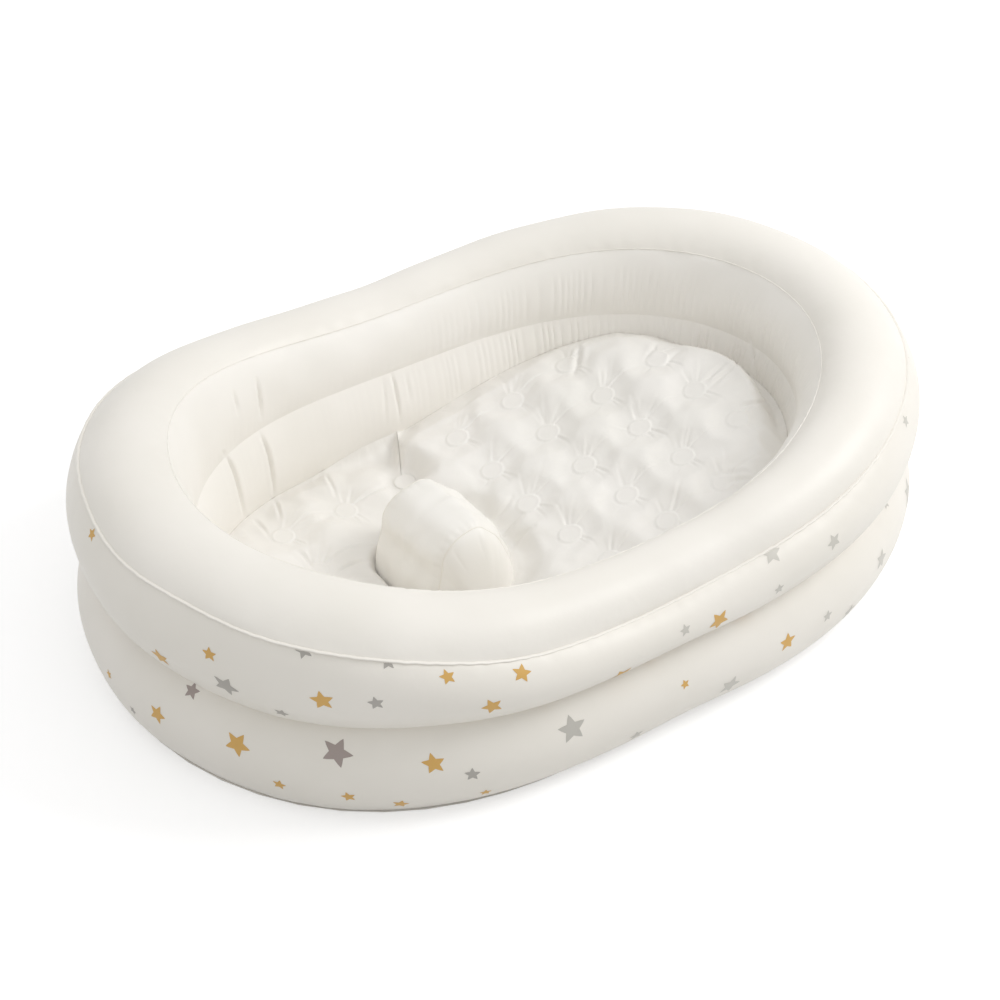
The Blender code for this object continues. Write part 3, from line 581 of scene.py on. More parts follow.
def bedFitting(item, name, upright=False):
    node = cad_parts[name]
    spots = np.array([tuple(node.matrix_world @ vert.co) for vert in node.data.vertices])
    middle = (spots.max(0) + spots.min(0)) / 2
    axis = np.array((0.0, 0.0, 1.0))
    if not upright:
        axis = np.linalg.eigh(np.cov((spots - middle).T))[1][:, 0]
    high = (spots - middle) @ axis
    far = np.linalg.norm(spots - middle - high[:, None] * axis, axis=1)
    rim = far > bedding["rimShare"] * far.max()
    if high[rim].mean() < high.mean():
        axis, high = -axis, -high
    radius, under = far.max(), high[rim].min()
    points = np.array([tuple(vert.co) for vert in item.data.vertices])
    rel = points - middle
    high = rel @ axis
    far = np.linalg.norm(rel - high[:, None] * axis, axis=1)
    start = radius + bedding["flat"]
    pull = (np.abs(high - under) < bedding["reach"]) * (1 - smooth(start, start + bedding["spread"], far))
    points = points + (pull * (under - bedding["sink"] - high))[:, None] * axis
    if upright:
        bore = (pull > 0) & (far < bedding["boreShare"] * radius)
        points[bore, 2] -= bedding["boreDrop"]
    item.data.vertices.foreach_set("co", points.reshape(-1))
    item.data.update()
    print(name, "bedded:", int((pull > 0).sum()), "points")


upperRing = makeUpperRing()
bedFitting(upperRing, "upper_valve_flange")
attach(upperRing, "tub")
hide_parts("upper_chamber")
lowerRing = makeLowerRing()
bedFitting(lowerRing, "lower_valve_flange")
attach(lowerRing, "tub")
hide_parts("lower_chamber")
print("air rings blown up")


# the welds along the rim and the inner edge

weld = dict(outerWidth=0.0030, outerThick=0.0016, outerShift=0.0010, outerSeed=51,
            innerWidth=0.0012, innerThick=0.00036, innerShift=0.0002, innerSeed=52,
            sides=14, flatSide=0.75, flatTop=0.9, ripple=0.00022, rippleLength=0.011)


def makeWeld(name, corner, size):
    c = corners(ringAngle)
    sides = np.arange(weld["sides"]) * 2 * math.pi / weld["sides"]
    tilt = c[corner] - c["innerSeam" if corner == "seam" else "seam"]
    tilt = tilt / np.linalg.norm(tilt, axis=1, keepdims=True)
    across = np.stack((-tilt[:, 1], tilt[:, 0]), -1)
    ripple = weld["ripple"] * ringWaves(alongRing, 0 * alongRing, weld["rippleLength"], weld[size + "Seed"])
    centre = c[corner] + tilt * (weld[size + "Shift"] + ripple[:, None])
    wide = np.sign(np.cos(sides)) * np.abs(np.cos(sides)) ** weld["flatSide"] * weld[size + "Width"] / 2
    high = np.sign(np.sin(sides)) * np.abs(np.sin(sides)) ** weld["flatTop"] * weld[size + "Thick"] / 2
    section = (centre[:, None] + tilt[:, None] * wide[None, :, None] + across[:, None] * high[None, :, None])
    points = place(np.broadcast_to(ringAngle[:, None], section.shape[:2]), section)
    faces = gridFaces(len(ringAngle), weld["sides"], True, True)
    item = makeMesh(name, points.reshape(-1, 3), faces.tolist(), [weldVinyl])
    facesOut(item)
    return item


rimWeld = makeWeld("rimWeld", "seam", "outer")
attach(rimWeld, "tub")
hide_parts("outer_rim_weld")
innerWeld = makeWeld("innerWeld", "innerSeam", "inner")
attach(innerWeld, "tub")
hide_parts("inner_rim_weld")
print("welds run")


# the printed stars: mustard and grey, scattered over the outer wall

starInk = dict(
    mustard=(0.668, 0.400, 0.112), grey=(0.430, 0.407, 0.377),
    # the lightest grey ink is grey print painted lighter, a painted sheen for the lit right side of the wall
    taupe=(0.372, 0.312, 0.292), pale=(0.515, 0.497, 0.456), paintedSheenGrey=(0.610, 0.588, 0.540),
)
starShape = dict(
    inner=0.46, rounding=0.06, roundPower=8, corners=40, edgeSteps=7, lift=0.00016,
    belowRim=0.0028, aboveBase=0.0015,
    smallest=0.0045, largest=0.0125, overEdge=0.002, apart=0.0135, seed=77, tries=1500,
    # shares of the first four inks round the back
    inkShares=(0.5, 0.34, 0.08, 0.08), turnedAway=-0.02, probeDepths=(0.003, 0.12),
    # how a spot on the photo is found on the wall
    seekRuns=2400, seekShares=121, seekStep=4, leastSlant=0.55, enlarge=1.04, hidden=1e6,
)
# the middle of each star in the photograph in pixels, its width in pixels, its ink and its turn
seenStars = (
    (92, 534, 10, "mustard", -5), (160, 657, 20, "mustard", -11), (209, 654, 14, "mustard", -8),
    (448, 677, 15, "mustard", -17), (322, 700, 22, "mustard", -14), (492, 706, 20, "mustard", -25),
    (158, 714, 18, "mustard", 14), (237, 745, 25, "mustard", 23), (433, 763, 22, "mustard", -12),
    (279, 785, 13, "mustard", 8), (348, 797, 14, "mustard", -18), (401, 804, 16, "mustard", 12),
    (486, 792, 12, "mustard", -4), (109, 674, 8, "mustard", -32), (522, 673, 18, "mustard", 16),
    (621, 674, 23, "mustard", -28), (719, 621, 22, "mustard", -31), (685, 684, 10, "mustard", -13),
    (788, 642, 18, "mustard", 7), (100, 581, 11, "grey", -13), (226, 686, 25, "grey", 20),
    (192, 691, 16, "taupe", -3), (304, 651, 17, "grey", -26), (388, 662, 15, "grey", -8),
    (376, 704, 15, "grey", -15), (282, 713, 14, "grey", 15), (473, 775, 15, "grey", 0),
    (133, 710, 8, "grey", 18), (337, 752, 30, "taupe", 20), (572, 729, 28, "pale", -3),
    # the right-hand grey stars take the lighter ink from here on, as painted sheen of the lit side
    (685, 630, 12, "paintedSheenGrey", -5), (730, 685, 23, "paintedSheenGrey", 25), (636, 735, 15, "paintedSheenGrey", -12),
    (771, 553, 20, "paintedSheenGrey", 14), (834, 541, 15, "paintedSheenGrey", -16), (779, 589, 11, "paintedSheenGrey", 0),
    (828, 616, 11, "paintedSheenGrey", 10), (849, 611, 15, "paintedSheenGrey", 10), (881, 559, 16, "paintedSheenGrey", 24),
    (890, 481, 15, "paintedSheenGrey", 8), (885, 503, 10, "paintedSheenGrey", 18), (908, 493, 24, "paintedSheenGrey", 30),
    (906, 421, 10, "paintedSheenGrey", 8), (906, 357, 9, "paintedSheenGrey", 0),
)


def wallPoints(angle, share):
    angle = np.asarray(angle, float)
    share = np.asarray(share, float)
    c = corners(angle)
    base = place(angle, wallArc(c, share))
    step = 1e-3
    atBase = share > 1.99
    more = place(angle, wallArc(c, np.where(atBase, share - step, share + step)))
    side = place(angle + step, wallArc(corners(angle + step), share))
    down = (more - base) * np.where(atBase, -1, 1)[..., None]
    normal = np.cross(side - base, down)
    normal = normal / np.linalg.norm(normal, axis=-1, keepdims=True)
    _, out = planFrame(angle)
    flip = np.sign((normal[..., :2] * out).sum(-1, keepdims=True) + 1e-9)
    # the same dents as the wall has
    dents = wallDents(angle, share) * np.where(share < 1, fade(share), fade(share - 1))
    return base + normal * flip * dents[..., None], normal * flip


def sheetLengths(angle):
    c = corners(np.asarray(angle, float))
    upper = arcLength(c["seam"], c["groove"], c["upper"])
    lower = arcLength(c["groove"], c["base"], c["lower"])
    return upper, lower


def shareOfDepth(angle, depth):
    upper, lower = sheetLengths(angle)
    return np.where(depth < upper, depth / upper, 1 + (depth - upper) / lower)


# the ring's length along the groove, to lay the stars out in flat sheet distances
grooveRun = place(ringAngle, corners(ringAngle)["groove"])[:, :2]
grooveStep = np.linalg.norm(np.roll(grooveRun, -1, 0) - grooveRun, axis=1)
grooveAt = np.concatenate(((0,), np.cumsum(grooveStep)))
grooveAngle = np.append(ringAngle, 2 * math.pi)


def angleOfRun(run):
    return np.interp(run % grooveAt[-1], grooveAt, grooveAngle)


def starOutline(radius, turn):
    count = starShape["corners"]
    tips = np.arange(count) * 2 * math.pi / count
    beat = np.abs(((tips * 5 / (2 * math.pi)) % 1.0) - 0.5) * 2
    # straight sides between tips and notches
    notch = starShape["inner"]
    span = math.pi / 5
    off = (1 - beat) * span
    side = math.sin(span) * notch
    reach = side / (np.sin(off) * (1 - notch * math.cos(span)) + np.cos(off) * side)
    reach = np.minimum(reach, 1 - starShape["rounding"] * beat ** starShape["roundPower"])
    return radius * reach[:, None] * np.stack((np.cos(tips + turn), np.sin(tips + turn)), -1)


def starPatch(run, depth, radius, turn):
    # a thin printed star laid on the wall, cut off at the rim seam and at the base
    outline = starOutline(radius, turn)
    rings = np.linspace(1, 0, starShape["edgeSteps"], endpoint=False)[::-1]
    flat = np.concatenate(([(0.0, 0.0)], (outline[None] * rings[:, None, None]).reshape(-1, 2)))
    count = len(outline)
    faces = [(0, 1 + i, 1 + (i + 1) % count) for i in range(count)]
    faces.extend(tuple(1 + face) for face in gridFaces(len(rings), count, False, True)[:, (0, 3, 2, 1)])
    angle = angleOfRun(run + flat[:, 0])
    upper, lower = sheetLengths(angle)
    down = depth + flat[:, 1]
    kept = np.clip(down, starShape["belowRim"], upper + lower - starShape["aboveBase"])
    outside = down != kept
    points, normal = wallPoints(angle, shareOfDepth(angle, kept))
    faces = [face for face in faces if not all(outside[index] for index in face)]
    return points + normal * starShape["lift"], faces


def findOnWall(pixels):
    # the wall spot that shows at each pixel: distance round, distance down the sheet, and how squarely
    # the camera sees it
    runs = np.linspace(0, grooveAt[-1], starShape["seekRuns"], endpoint=False)
    angles = angleOfRun(runs)
    shares = np.linspace(0, 2, starShape["seekShares"])
    grid = np.broadcast_to(angles[:, None], (len(angles), len(shares)))
    points, normal = wallPoints(grid, np.broadcast_to(shares[None], grid.shape))
    right, _, back = cameraAxes()
    toEye = cameraTarget() + back * camera["distance"] - points
    facing = (normal * toEye).sum(-1) > 0
    seen = onPhoto(points)
    spots = []
    for pixel in pixels:
        gap = np.where(facing, np.linalg.norm(seen - np.array(pixel), axis=-1), starShape["hidden"])
        row, column = np.unravel_index(np.argmin(gap), gap.shape)
        upper, lower = sheetLengths(angles[row])
        share = shares[column]
        depth = share * upper if share < 1 else upper + (share - 1) * lower
        ahead = points[(row + starShape["seekStep"]) % len(runs), column] - points[row, column]
        ahead = ahead / np.linalg.norm(ahead)
        spots.append((runs[row], float(depth), max(starShape["leastSlant"], abs(float(ahead @ right)))))
    return spots


def layStars():
    rng = np.random.default_rng(starShape["seed"])
    patches = {ink: [] for ink in starInk}
    taken = []
    scale = camera["distance"] / (camera["lens"] / camera["sensor"] * camera["pixels"])
    spots = findOnWall([star[:2] for star in seenStars])
    for (_, _, size, ink, turn), (run, depth, slant) in zip(seenStars, spots):
        radius = size / 2 * scale / slant ** 0.5 * starShape["enlarge"]
        patches[ink].append(starPatch(run, depth, radius, math.radians(turn - 90)))
        taken.append((run, depth, radius))
    # the side that the camera doesn't see gets a random scatter
    total = grooveAt[-1]
    eye = cameraTarget() + cameraAxes()[2] * camera["distance"]
    inks = list(starInk)
    for _ in range(starShape["tries"]):
        run = rng.uniform(0, total)
        upper, lower = sheetLengths(angleOfRun(np.array([run])))
        depth = rng.uniform(-starShape["overEdge"], float(upper[0] + lower[0]) + starShape["overEdge"])
        radius = rng.uniform(starShape["smallest"], starShape["largest"])
        turn = rng.uniform(0, 2 * math.pi)
        ink = inks[rng.choice(len(starShape["inkShares"]), p=starShape["inkShares"])]
        around = angleOfRun(run + np.repeat((-radius, 0, radius), 3))
        down = np.clip(depth + np.tile((-radius, 0, radius), 3), *starShape["probeDepths"])
        spots, facing = wallPoints(around, shareOfDepth(around, down))
        if ((eye - spots) * facing).sum(1).max() > starShape["turnedAway"]:
            continue
        gaps = []
        for otherRun, otherDepth, other in taken:
            round_ = (run - otherRun + total / 2) % total - total / 2
            gaps.append(math.hypot(round_, depth - otherDepth) - radius - other)
        if min(gaps) < starShape["apart"]:
            continue
        taken.append((run, depth, radius))
        patches[ink].append(starPatch(run, depth, radius, turn))
    print("stars laid:", len(taken))
    return patches


for ink, patches in layStars().items():
    points = []
    faces = []
    for patchPoints, patchFaces in patches:
        faces.extend([tuple(index + len(points) for index in face) for face in patchFaces])
        points.extend(patchPoints.tolist())
    colour = addVinyl(ink + "Ink", starInk[ink], vinyl["roughness"] + 0.02, 0.35, 0.05)
    stars = makeMesh(ink + "Stars", points, faces, [colour])
    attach(stars, "tub")
print("stars printed")


# the tufted seat and backrest

pillow = dict(
    buttonRadius=0.0112, rowPitch=0.063, margin=0.016, rowShifts={-1: (0.006, 0.0), -2: (0.0136, 0.0074)},
    # rings of points that make a button, as shares of its radius, and how many points apart
    discRings=((1.0, 1), (0.86, 1), (0.6, 1), (0.3, 3)),
    seatPitch=-0.072, seatFirst=-0.032, seatTop=0.033, seatTuft=0.0062, seatSeed=61,
    backPitch=0.066, backFirst=0.027, backHeight=0.0615, backSlope=0.28, backTuft=0.0053, backSeed=71,
    seatEdge=0.026, seatEdgeRise=0.017, seatEdgeSpan=(-0.12, -0.03),
    backEdgeFall=0.013, backEdgeMost=0.104, headEdgeFall=0.007, headEdgeSpan=(0.235, 0.30),
    seatRound=0.022, backRound=0.046, headRound=0.071, roundSpan=(0.20, 0.28),
    foldHeight=0.022, foldRise=0.023, foldRiseSpan=(0.09, 0.19), seatFoldRound=0.030, backFoldRound=0.022,
    foldApex=-0.105, foldSlope=0.53, foldGap=0.0004, foldSoften=9, foldMean=5,
    # the ditch round the horn's foot, deeper towards the foot end
    headTuck=0.015, headTuckWidth=0.014, footTuck=0.018, footTuckWidth=0.006, tuckSpan=(-0.03, 0.03),
    headSpan=(0.225, 0.295), headSteep=0.6, gutter=(0.008, 0.035), tuftSpread=0.0145,
    nearWall=0.048, wallSpan=(0.22, 0.28), wallTuft=0.25, wallGap=0.0001, lowest=0.004,
    # the button on the fold: place along and across, height, and slope towards the head
    foldButton=(-0.034, 0.128, 0.0308, 0.10), foldButtonSpread=0.012, foldButtonShare=0.9,
    mesh=0.0028, rowShare=0.866, jitter=0.12, edgeShare=0.6, discGap=0.5, buttonSides=24, outlineSteps=720,
    wallSteps=40, underHorn=0.004, sharpAngle=60,
)

film = dict(
    quality=6, mass=0.25, airDamping=2.0, tension=30, shear=12, bending=3.0, damping=12, bendingDamping=0.8,
    shrink=-0.04, pressure=4.5, frames=30, slack=0.5, reach=0.012, calmRounds=6, calmShare=0.6,
)


def pastFold(spots):
    return spots[:, 0] - (pillow["foldApex"] + pillow["foldSlope"] * np.abs(spots[:, 1]))


def seatEdge(x):
    return pillow["seatEdge"] + pillow["seatEdgeRise"] * smooth(*pillow["seatEdgeSpan"], x)


def backEdge(x):
    rise = backLevel(x) - pillow["backEdgeFall"]
    fall = pillow["headEdgeFall"] * smooth(*pillow["headEdgeSpan"], x)
    return np.minimum(rise, pillow["backEdgeMost"]) - fall


def floorEdge(edgeHeight):
    # where a pillow's border meets the lower ring's inner wall, in plan
    angle = np.arange(pillow["outlineSteps"]) * 2 * math.pi / pillow["outlineSteps"]
    wall = sectionArc(spreadCorners(angle), "innerBase", "innerGroove", "lowerInner", pillow["wallSteps"])
    halfway = wall[:, pillow["wallSteps"] // 2, 0]
    height = edgeHeight(place(angle, np.stack((halfway, halfway * 0), -1))[:, 0])
    inward = np.array([np.interp(z, row[:, 1], row[:, 0]) for z, row in zip(height, wall)])
    inward = inward - pillow["wallGap"]
    return place(angle, np.stack((inward, inward * 0), -1))[:, :2]


def pillowOutline(sign):
    # the backrest for sign 1 and the seat for -1, the fold between them in their middle
    edge = floorEdge(backEdge if sign > 0 else seatEdge)
    if sign > 0:
        edge = np.roll(edge, len(edge) // 2, axis=0)
    side = (pastFold(edge) - sign * pillow["foldGap"] / 2) * sign
    after = np.roll(edge, -1, 0)
    sideAfter = np.roll(side, -1)
    kept = []
    for index in range(len(edge)):
        if side[index] > 0:
            kept.append(edge[index])
        if (side[index] > 0) != (sideAfter[index] > 0):
            share = side[index] / (side[index] - sideAfter[index])
            kept.append(edge[index] + share * (after[index] - edge[index]))
    apex = np.array((pillow["foldApex"] + sign * pillow["foldGap"] / 2, 0.0))
    first, last = kept[0], kept[-1]
    count = round(float(np.linalg.norm(apex - last)) / pillow["mesh"])
    bend = np.arange(1, count + 1)[:, None] / count
    line = np.concatenate((last + (apex - last) * bend, apex + (first - apex) * bend[:-1]))
    # the fold rounds off at its apex instead of coming to a point
    middle = len(line) // 2
    mean = pillow["foldMean"]
    smoothed = line.copy()
    for index in range(middle - pillow["foldSoften"], middle + pillow["foldSoften"]):
        smoothed[index] = line[index - mean:index + mean + 1].mean(0)
    return np.array(kept), np.concatenate((kept[-1:], smoothed, kept[:1]))


def outlineGap(spots, outline):
    start = outline
    run = np.roll(outline, -1, 0) - outline
    length = (run ** 2).sum(1)
    rel = spots[:, None] - start[None]
    share = np.clip((rel * run[None]).sum(2) / length[None], 0, 1)
    gap = np.linalg.norm(rel - share[..., None] * run[None], axis=2).min(1)
    y0, y1 = start[:, 1], start[:, 1] + run[:, 1]
    cross = (y0[None] > spots[:, None, 1]) != (y1[None] > spots[:, None, 1])
    slope = np.divide(run[:, 0], run[:, 1], out=np.zeros(len(run)), where=run[:, 1] != 0)
    meet = start[None, :, 0] + (spots[:, None, 1] - y0[None]) * slope[None]
    inside = (cross & (spots[:, None, 0] < meet)).sum(1) % 2 == 1
    return gap, inside


hornSize = dict(width=0.1066, centre=-0.0652, middle=0.0009, halfLength=0.0488, foot=0.014, top=0.104,
                dome=0.0270, farDome=0.0095, footShare=0.55, inset=0.003, footPower=3.4)


def hornGap(spots):
    # distance outside the horn's rounded foot, below 0 under it
    rel = np.abs(spots - (hornSize["centre"], hornSize["middle"]))
    dome = np.where(spots[:, 1] > hornSize["middle"], hornSize["farDome"], hornSize["dome"])
    across = hornSize["width"] * hornSize["footShare"]
    along = hornSize["halfLength"] + dome - hornSize["inset"]
    power = hornSize["footPower"]
    share = (rel[:, 0] / across) ** power + (rel[:, 1] / along) ** power
    return (share ** (1 / power) - 1) * across


def buttonSpots(first, pitch, outline):
    columns = math.ceil(2 * ring["halfLength"] / abs(pitch))
    rows = math.ceil(ring["halfWidth"] / pillow["rowPitch"])
    shifts = pillow["rowShifts"] if pitch > 0 else {}
    spots = []
    for column in range(-1, columns):
        for row in range(-rows, rows + 1):
            along, across = shifts.get(row, (0, 0))
            spots.append((first + pitch * column + along, pillow["rowPitch"] * row + across))
    spots = np.array(spots)
    gap, inside = outlineGap(spots, outline)
    return spots[inside & (gap > pillow["margin"]) & (hornGap(spots) > pillow["margin"])]


def seatLevel(x):
    return x * 0 + pillow["seatTop"] - pillow["seatTuft"]


def backLevel(x):
    return pillow["backHeight"] + pillow["backSlope"] * (x - pillow["backFirst"])


def openLineGap(spots, line):
    start = line[:-1]
    run = np.diff(line, axis=0)
    rel = spots[:, None] - start[None]
    share = np.clip((rel * run[None]).sum(2) / (run ** 2).sum(1)[None], 0, 1)
    return np.linalg.norm(rel - share[..., None] * run[None], axis=2).min(1)


def rollOff(gap, width, steep=1.0):
    # how far a pillow has dropped to its border: round where steep, a soft slope where not
    share = np.clip(1 - gap / width, 0, 1)
    return steep * (1 - np.sqrt(np.maximum(0, 1 - share ** 2))) + (1 - steep) * share ** 2


def pillowTop(spots, wall, fold, buttons, level, edge, round_, depth, sign):
    x = spots[:, 0]
    wallGap = openLineGap(spots, wall)
    far = np.linalg.norm(spots[:, None] - buttons[None], axis=2)
    left = 1 - np.exp(-(np.maximum(0, far - pillow["buttonRadius"]) / pillow["tuftSpread"]) ** 2)
    inwards = pillow["wallTuft"] + (1 - pillow["wallTuft"]) * smooth(0, pillow["nearWall"], wallGap)
    height = level(x) + depth * left.prod(1) * np.maximum(smooth(*pillow["wallSpan"], x), inwards)
    # at the head end the cushion drops into a gutter along the wall
    atHead = smooth(*pillow["headSpan"], x)
    dropped = rollOff(wallGap, round_(x), pillow["headSteep"] * atHead)
    dropped = dropped + atHead * (1 - smooth(*pillow["gutter"], wallGap) - dropped)
    height = height - (height - edge(x)) * dropped
    foldRise = pillow["foldRise"] * smooth(*pillow["foldRiseSpan"], np.abs(spots[:, 1]))
    foldLevel = pillow["foldHeight"] + foldRise
    foldRound = pillow["backFoldRound"] if sign > 0 else pillow["seatFoldRound"]
    height = height - (height - foldLevel) * rollOff(openLineGap(spots, fold), foldRound)
    headSide = smooth(*pillow["tuckSpan"], x - hornSize["centre"])
    tuck = pillow["footTuck"] + (pillow["headTuck"] - pillow["footTuck"]) * headSide
    tuckWidth = pillow["footTuckWidth"] + (pillow["headTuckWidth"] - pillow["footTuckWidth"]) * headSide
    height = height - tuck * np.exp(-(np.maximum(0, hornGap(spots)) / tuckWidth) ** 2)
    # both pillows come down to the button that sits on their fold
    along, across, rise, slope = pillow["foldButton"]
    rel = spots - (along, 0)
    rel[:, 1] = np.abs(rel[:, 1]) - across
    out = np.maximum(0, np.linalg.norm(rel, axis=1) - pillow["buttonRadius"] * pillow["foldButtonShare"])
    pulled = np.exp(-(out / pillow["foldButtonSpread"]) ** 2)
    height = height + pulled * (rise + slope * rel[:, 0] - height)
    return np.maximum(height, pillow["lowest"]), far.min(1)


def simulateCloth(item, pins):
    group = item.vertex_groups.new(name="pins")
    group.add([int(i) for i in pins], 1.0, "REPLACE")
    cloth = item.modifiers.new("film", "CLOTH")
    settings = cloth.settings
    settings.quality = film["quality"]
    settings.mass = film["mass"]
    settings.air_damping = film["airDamping"]
    settings.tension_stiffness = film["tension"]
    settings.compression_stiffness = film["tension"]
    settings.shear_stiffness = film["shear"]
    settings.bending_stiffness = film["bending"]
    settings.tension_damping = film["damping"]
    settings.compression_damping = film["damping"]
    settings.shear_damping = film["damping"]
    settings.bending_damping = film["bendingDamping"]
    settings.vertex_group_mass = "pins"
    settings.shrink_min = film["shrink"]
    settings.shrink_max = film["shrink"]
    settings.use_pressure = True
    settings.uniform_pressure_force = film["pressure"]
    settings.effector_weights.gravity = 0
    cloth.collision_settings.use_collision = False
    cloth.collision_settings.use_self_collision = False
    cloth.point_cache.frame_start = 1
    cloth.point_cache.frame_end = film["frames"]
    for number in range(1, film["frames"] + 1):
        scene.frame_set(number)
    seen = item.evaluated_get(bpy.context.evaluated_depsgraph_get())
    points = np.empty(len(item.data.vertices) * 3)
    seen.data.vertices.foreach_get("co", points)
    item.modifiers.remove(cloth)
    item.vertex_groups.remove(group)
    scene.frame_set(1)
    return points.reshape(-1, 3)


def evenOut(moves, faces, held):
    # takes the crumple out of the cloth's moves and leaves its larger folds
    ends = np.array([(face[k], face[(k + 1) % len(face)]) for face in faces for k in range(len(face))])
    count = np.zeros(len(moves))
    np.add.at(count, ends[:, 0], 1)
    np.add.at(count, ends[:, 1], 1)
    calm = film["calmShare"]
    for _ in range(film["calmRounds"]):
        total = np.zeros_like(moves)
        np.add.at(total, ends[:, 0], moves[ends[:, 1]])
        np.add.at(total, ends[:, 1], moves[ends[:, 0]])
        mean = total / np.maximum(count, 1)[:, None]
        moves = np.where(held[:, None], moves, (1 - calm) * moves + calm * mean)
    return moves


def makePillow(name, buttons, wall, fold, level, edge, round_, depth, seed, sign):
    rng = np.random.default_rng(seed)
    outline = np.concatenate((wall, fold[1:-1]))
    size = pillow["mesh"]
    radius = pillow["buttonRadius"]
    turns = np.arange(pillow["buttonSides"]) * 2 * math.pi / pillow["buttonSides"]
    rim = radius * np.stack((np.cos(turns), np.sin(turns)), -1)
    disc = np.concatenate([rim[::skip] * share for share, skip in pillow["discRings"]])
    discs = np.concatenate([spot + disc for spot in buttons])
    low, high = outline.min(0), outline.max(0)
    rows = np.arange(low[1], high[1], size * pillow["rowShare"])
    free = np.array([(x + (size / 2 if index % 2 else 0), y)
                     for index, y in enumerate(rows) for x in np.arange(low[0], high[0], size)])
    free = free + rng.uniform(-pillow["jitter"], pillow["jitter"], free.shape) * size
    gap, inside = outlineGap(free, outline)
    free = free[inside & (gap > size * pillow["edgeShare"])]
    away = np.linalg.norm(free[:, None] - buttons[None], axis=2).min(1)
    free = free[away > radius + size * pillow["discGap"]]
    flat = np.concatenate((outline, discs, free))
    edges = [(index, (index + 1) % len(outline)) for index in range(len(outline))]
    verts, _, faces, _, _, _ = delaunay_2d_cdt([Vector(spot) for spot in flat], edges, [], 1, 1e-7)
    spots = np.array([tuple(vert) for vert in verts])
    height, near = pillowTop(spots, wall, fold, buttons, level, edge, round_, depth, sign)
    points = np.concatenate((spots, height[:, None]), 1)
    faces = [tuple(face) for face in faces]
    gap, _ = outlineGap(spots, outline)
    foldFar = np.linalg.norm(np.abs(spots) - np.abs(pillow["foldButton"][:2]), axis=1)
    held = ((gap < 1e-5) | (near <= radius + 1e-5) | (hornGap(spots) < -pillow["underHorn"])
            | ((foldFar < radius) & (spots[:, 0] < 0)))
    sheet = makeMesh(name + "Sheet", points, faces, [])
    start = points.copy()
    slack = points[:, 2] - np.minimum(level(spots[:, 0]), points[:, 2])
    start[:, 2] = np.where(held, points[:, 2], points[:, 2] - film["slack"] * slack)
    sheet.data.vertices.foreach_set("co", start.reshape(-1))
    step = simulateCloth(sheet, np.nonzero(held)[0]) - points
    bpy.data.objects.remove(sheet)
    length = np.linalg.norm(step, axis=1, keepdims=True)
    print(name, "cloth moved up to", round(float(length.max()) * 1000, 1), "mm, on average",
          round(float(length.mean()) * 1000, 2))
    step = step * np.minimum(1, film["reach"] / np.maximum(length, 1e-9))
    return points + evenOut(step, faces, held), faces


tuft = dict(
    # heading in degrees, strength, reach, bend per metre, width
    creases=((21, 0.85, 0.036, -8, 0.0010), (-64, 0.75, 0.017, -11, 0.0010), (-78, 0.50, 0.014, -9, 0.0009),
             (-136, 0.20, 0.024, -13, 0.0010)),
    fall=(0.0007, 0.0012), headingSpread=6, reachSpread=(0.8, 1.25), widen=0.016, lip=0.5,
    lipAway=2.1, lipWidth=1.3, begin=(-0.0008, 0.0015), widest=1.2, around=0.075,
    fanReach=(0.014, 0.032), fanFall=(0.0002, 0.0006), fanMiddle=52, fanSpread=26, fanCount=(4, 8),
    fanBend=5, fanLip=0.35, fanWidth=0.0013, fanStart=0.0035,
    strayCount=(0, 2), strayReach=(0.008, 0.016), strayBend=8, strayLip=0.2,
    ringRise=0.00034, ringInset=0.0012, ringWidth=0.0012, moat=0.00040, moatOut=0.0013, moatWidth=0.0014,
    ripple=0.00012, rippleLength=0.020, rippleStart=(0.002, 0.02), foldStart=(0.001, 0.014), edgeStart=0.003,
    # gathers all along a pillow's border
    pucker=0.0012, puckerLength=0.0062, puckerReach=0.009, puckerStart=(0.0005, 0.003), puckerSharp=0.6,
    meanRadius=0.19, wander=1.6, wanderLength=0.05, deep=0.6, deepSpread=0.4, deepLength=0.03,
)


def oneFold(rel, far, heading, reach, fall, bend, width, lip):
    # a crease that leaves a button at heading, curves by bend per metre and dies away at reach
    out = np.maximum(0, far - pillow["buttonRadius"])
    along = np.arctan2(rel[:, 1], rel[:, 0]) - heading - bend * out
    along = (along + math.pi) % (2 * math.pi) - math.pi
    across = along * far
    width = width + tuft["widen"] * out
    dies = smooth(*tuft["begin"], far - pillow["buttonRadius"]) * np.exp(-(out / reach) ** 3)
    lipGap = (across - tuft["lipAway"] * width) / (tuft["lipWidth"] * width)
    shape = -np.exp(-(across / width) ** 2) + lip * np.exp(-lipGap ** 2)
    return fall * dies * shape * (np.abs(along) < tuft["widest"])


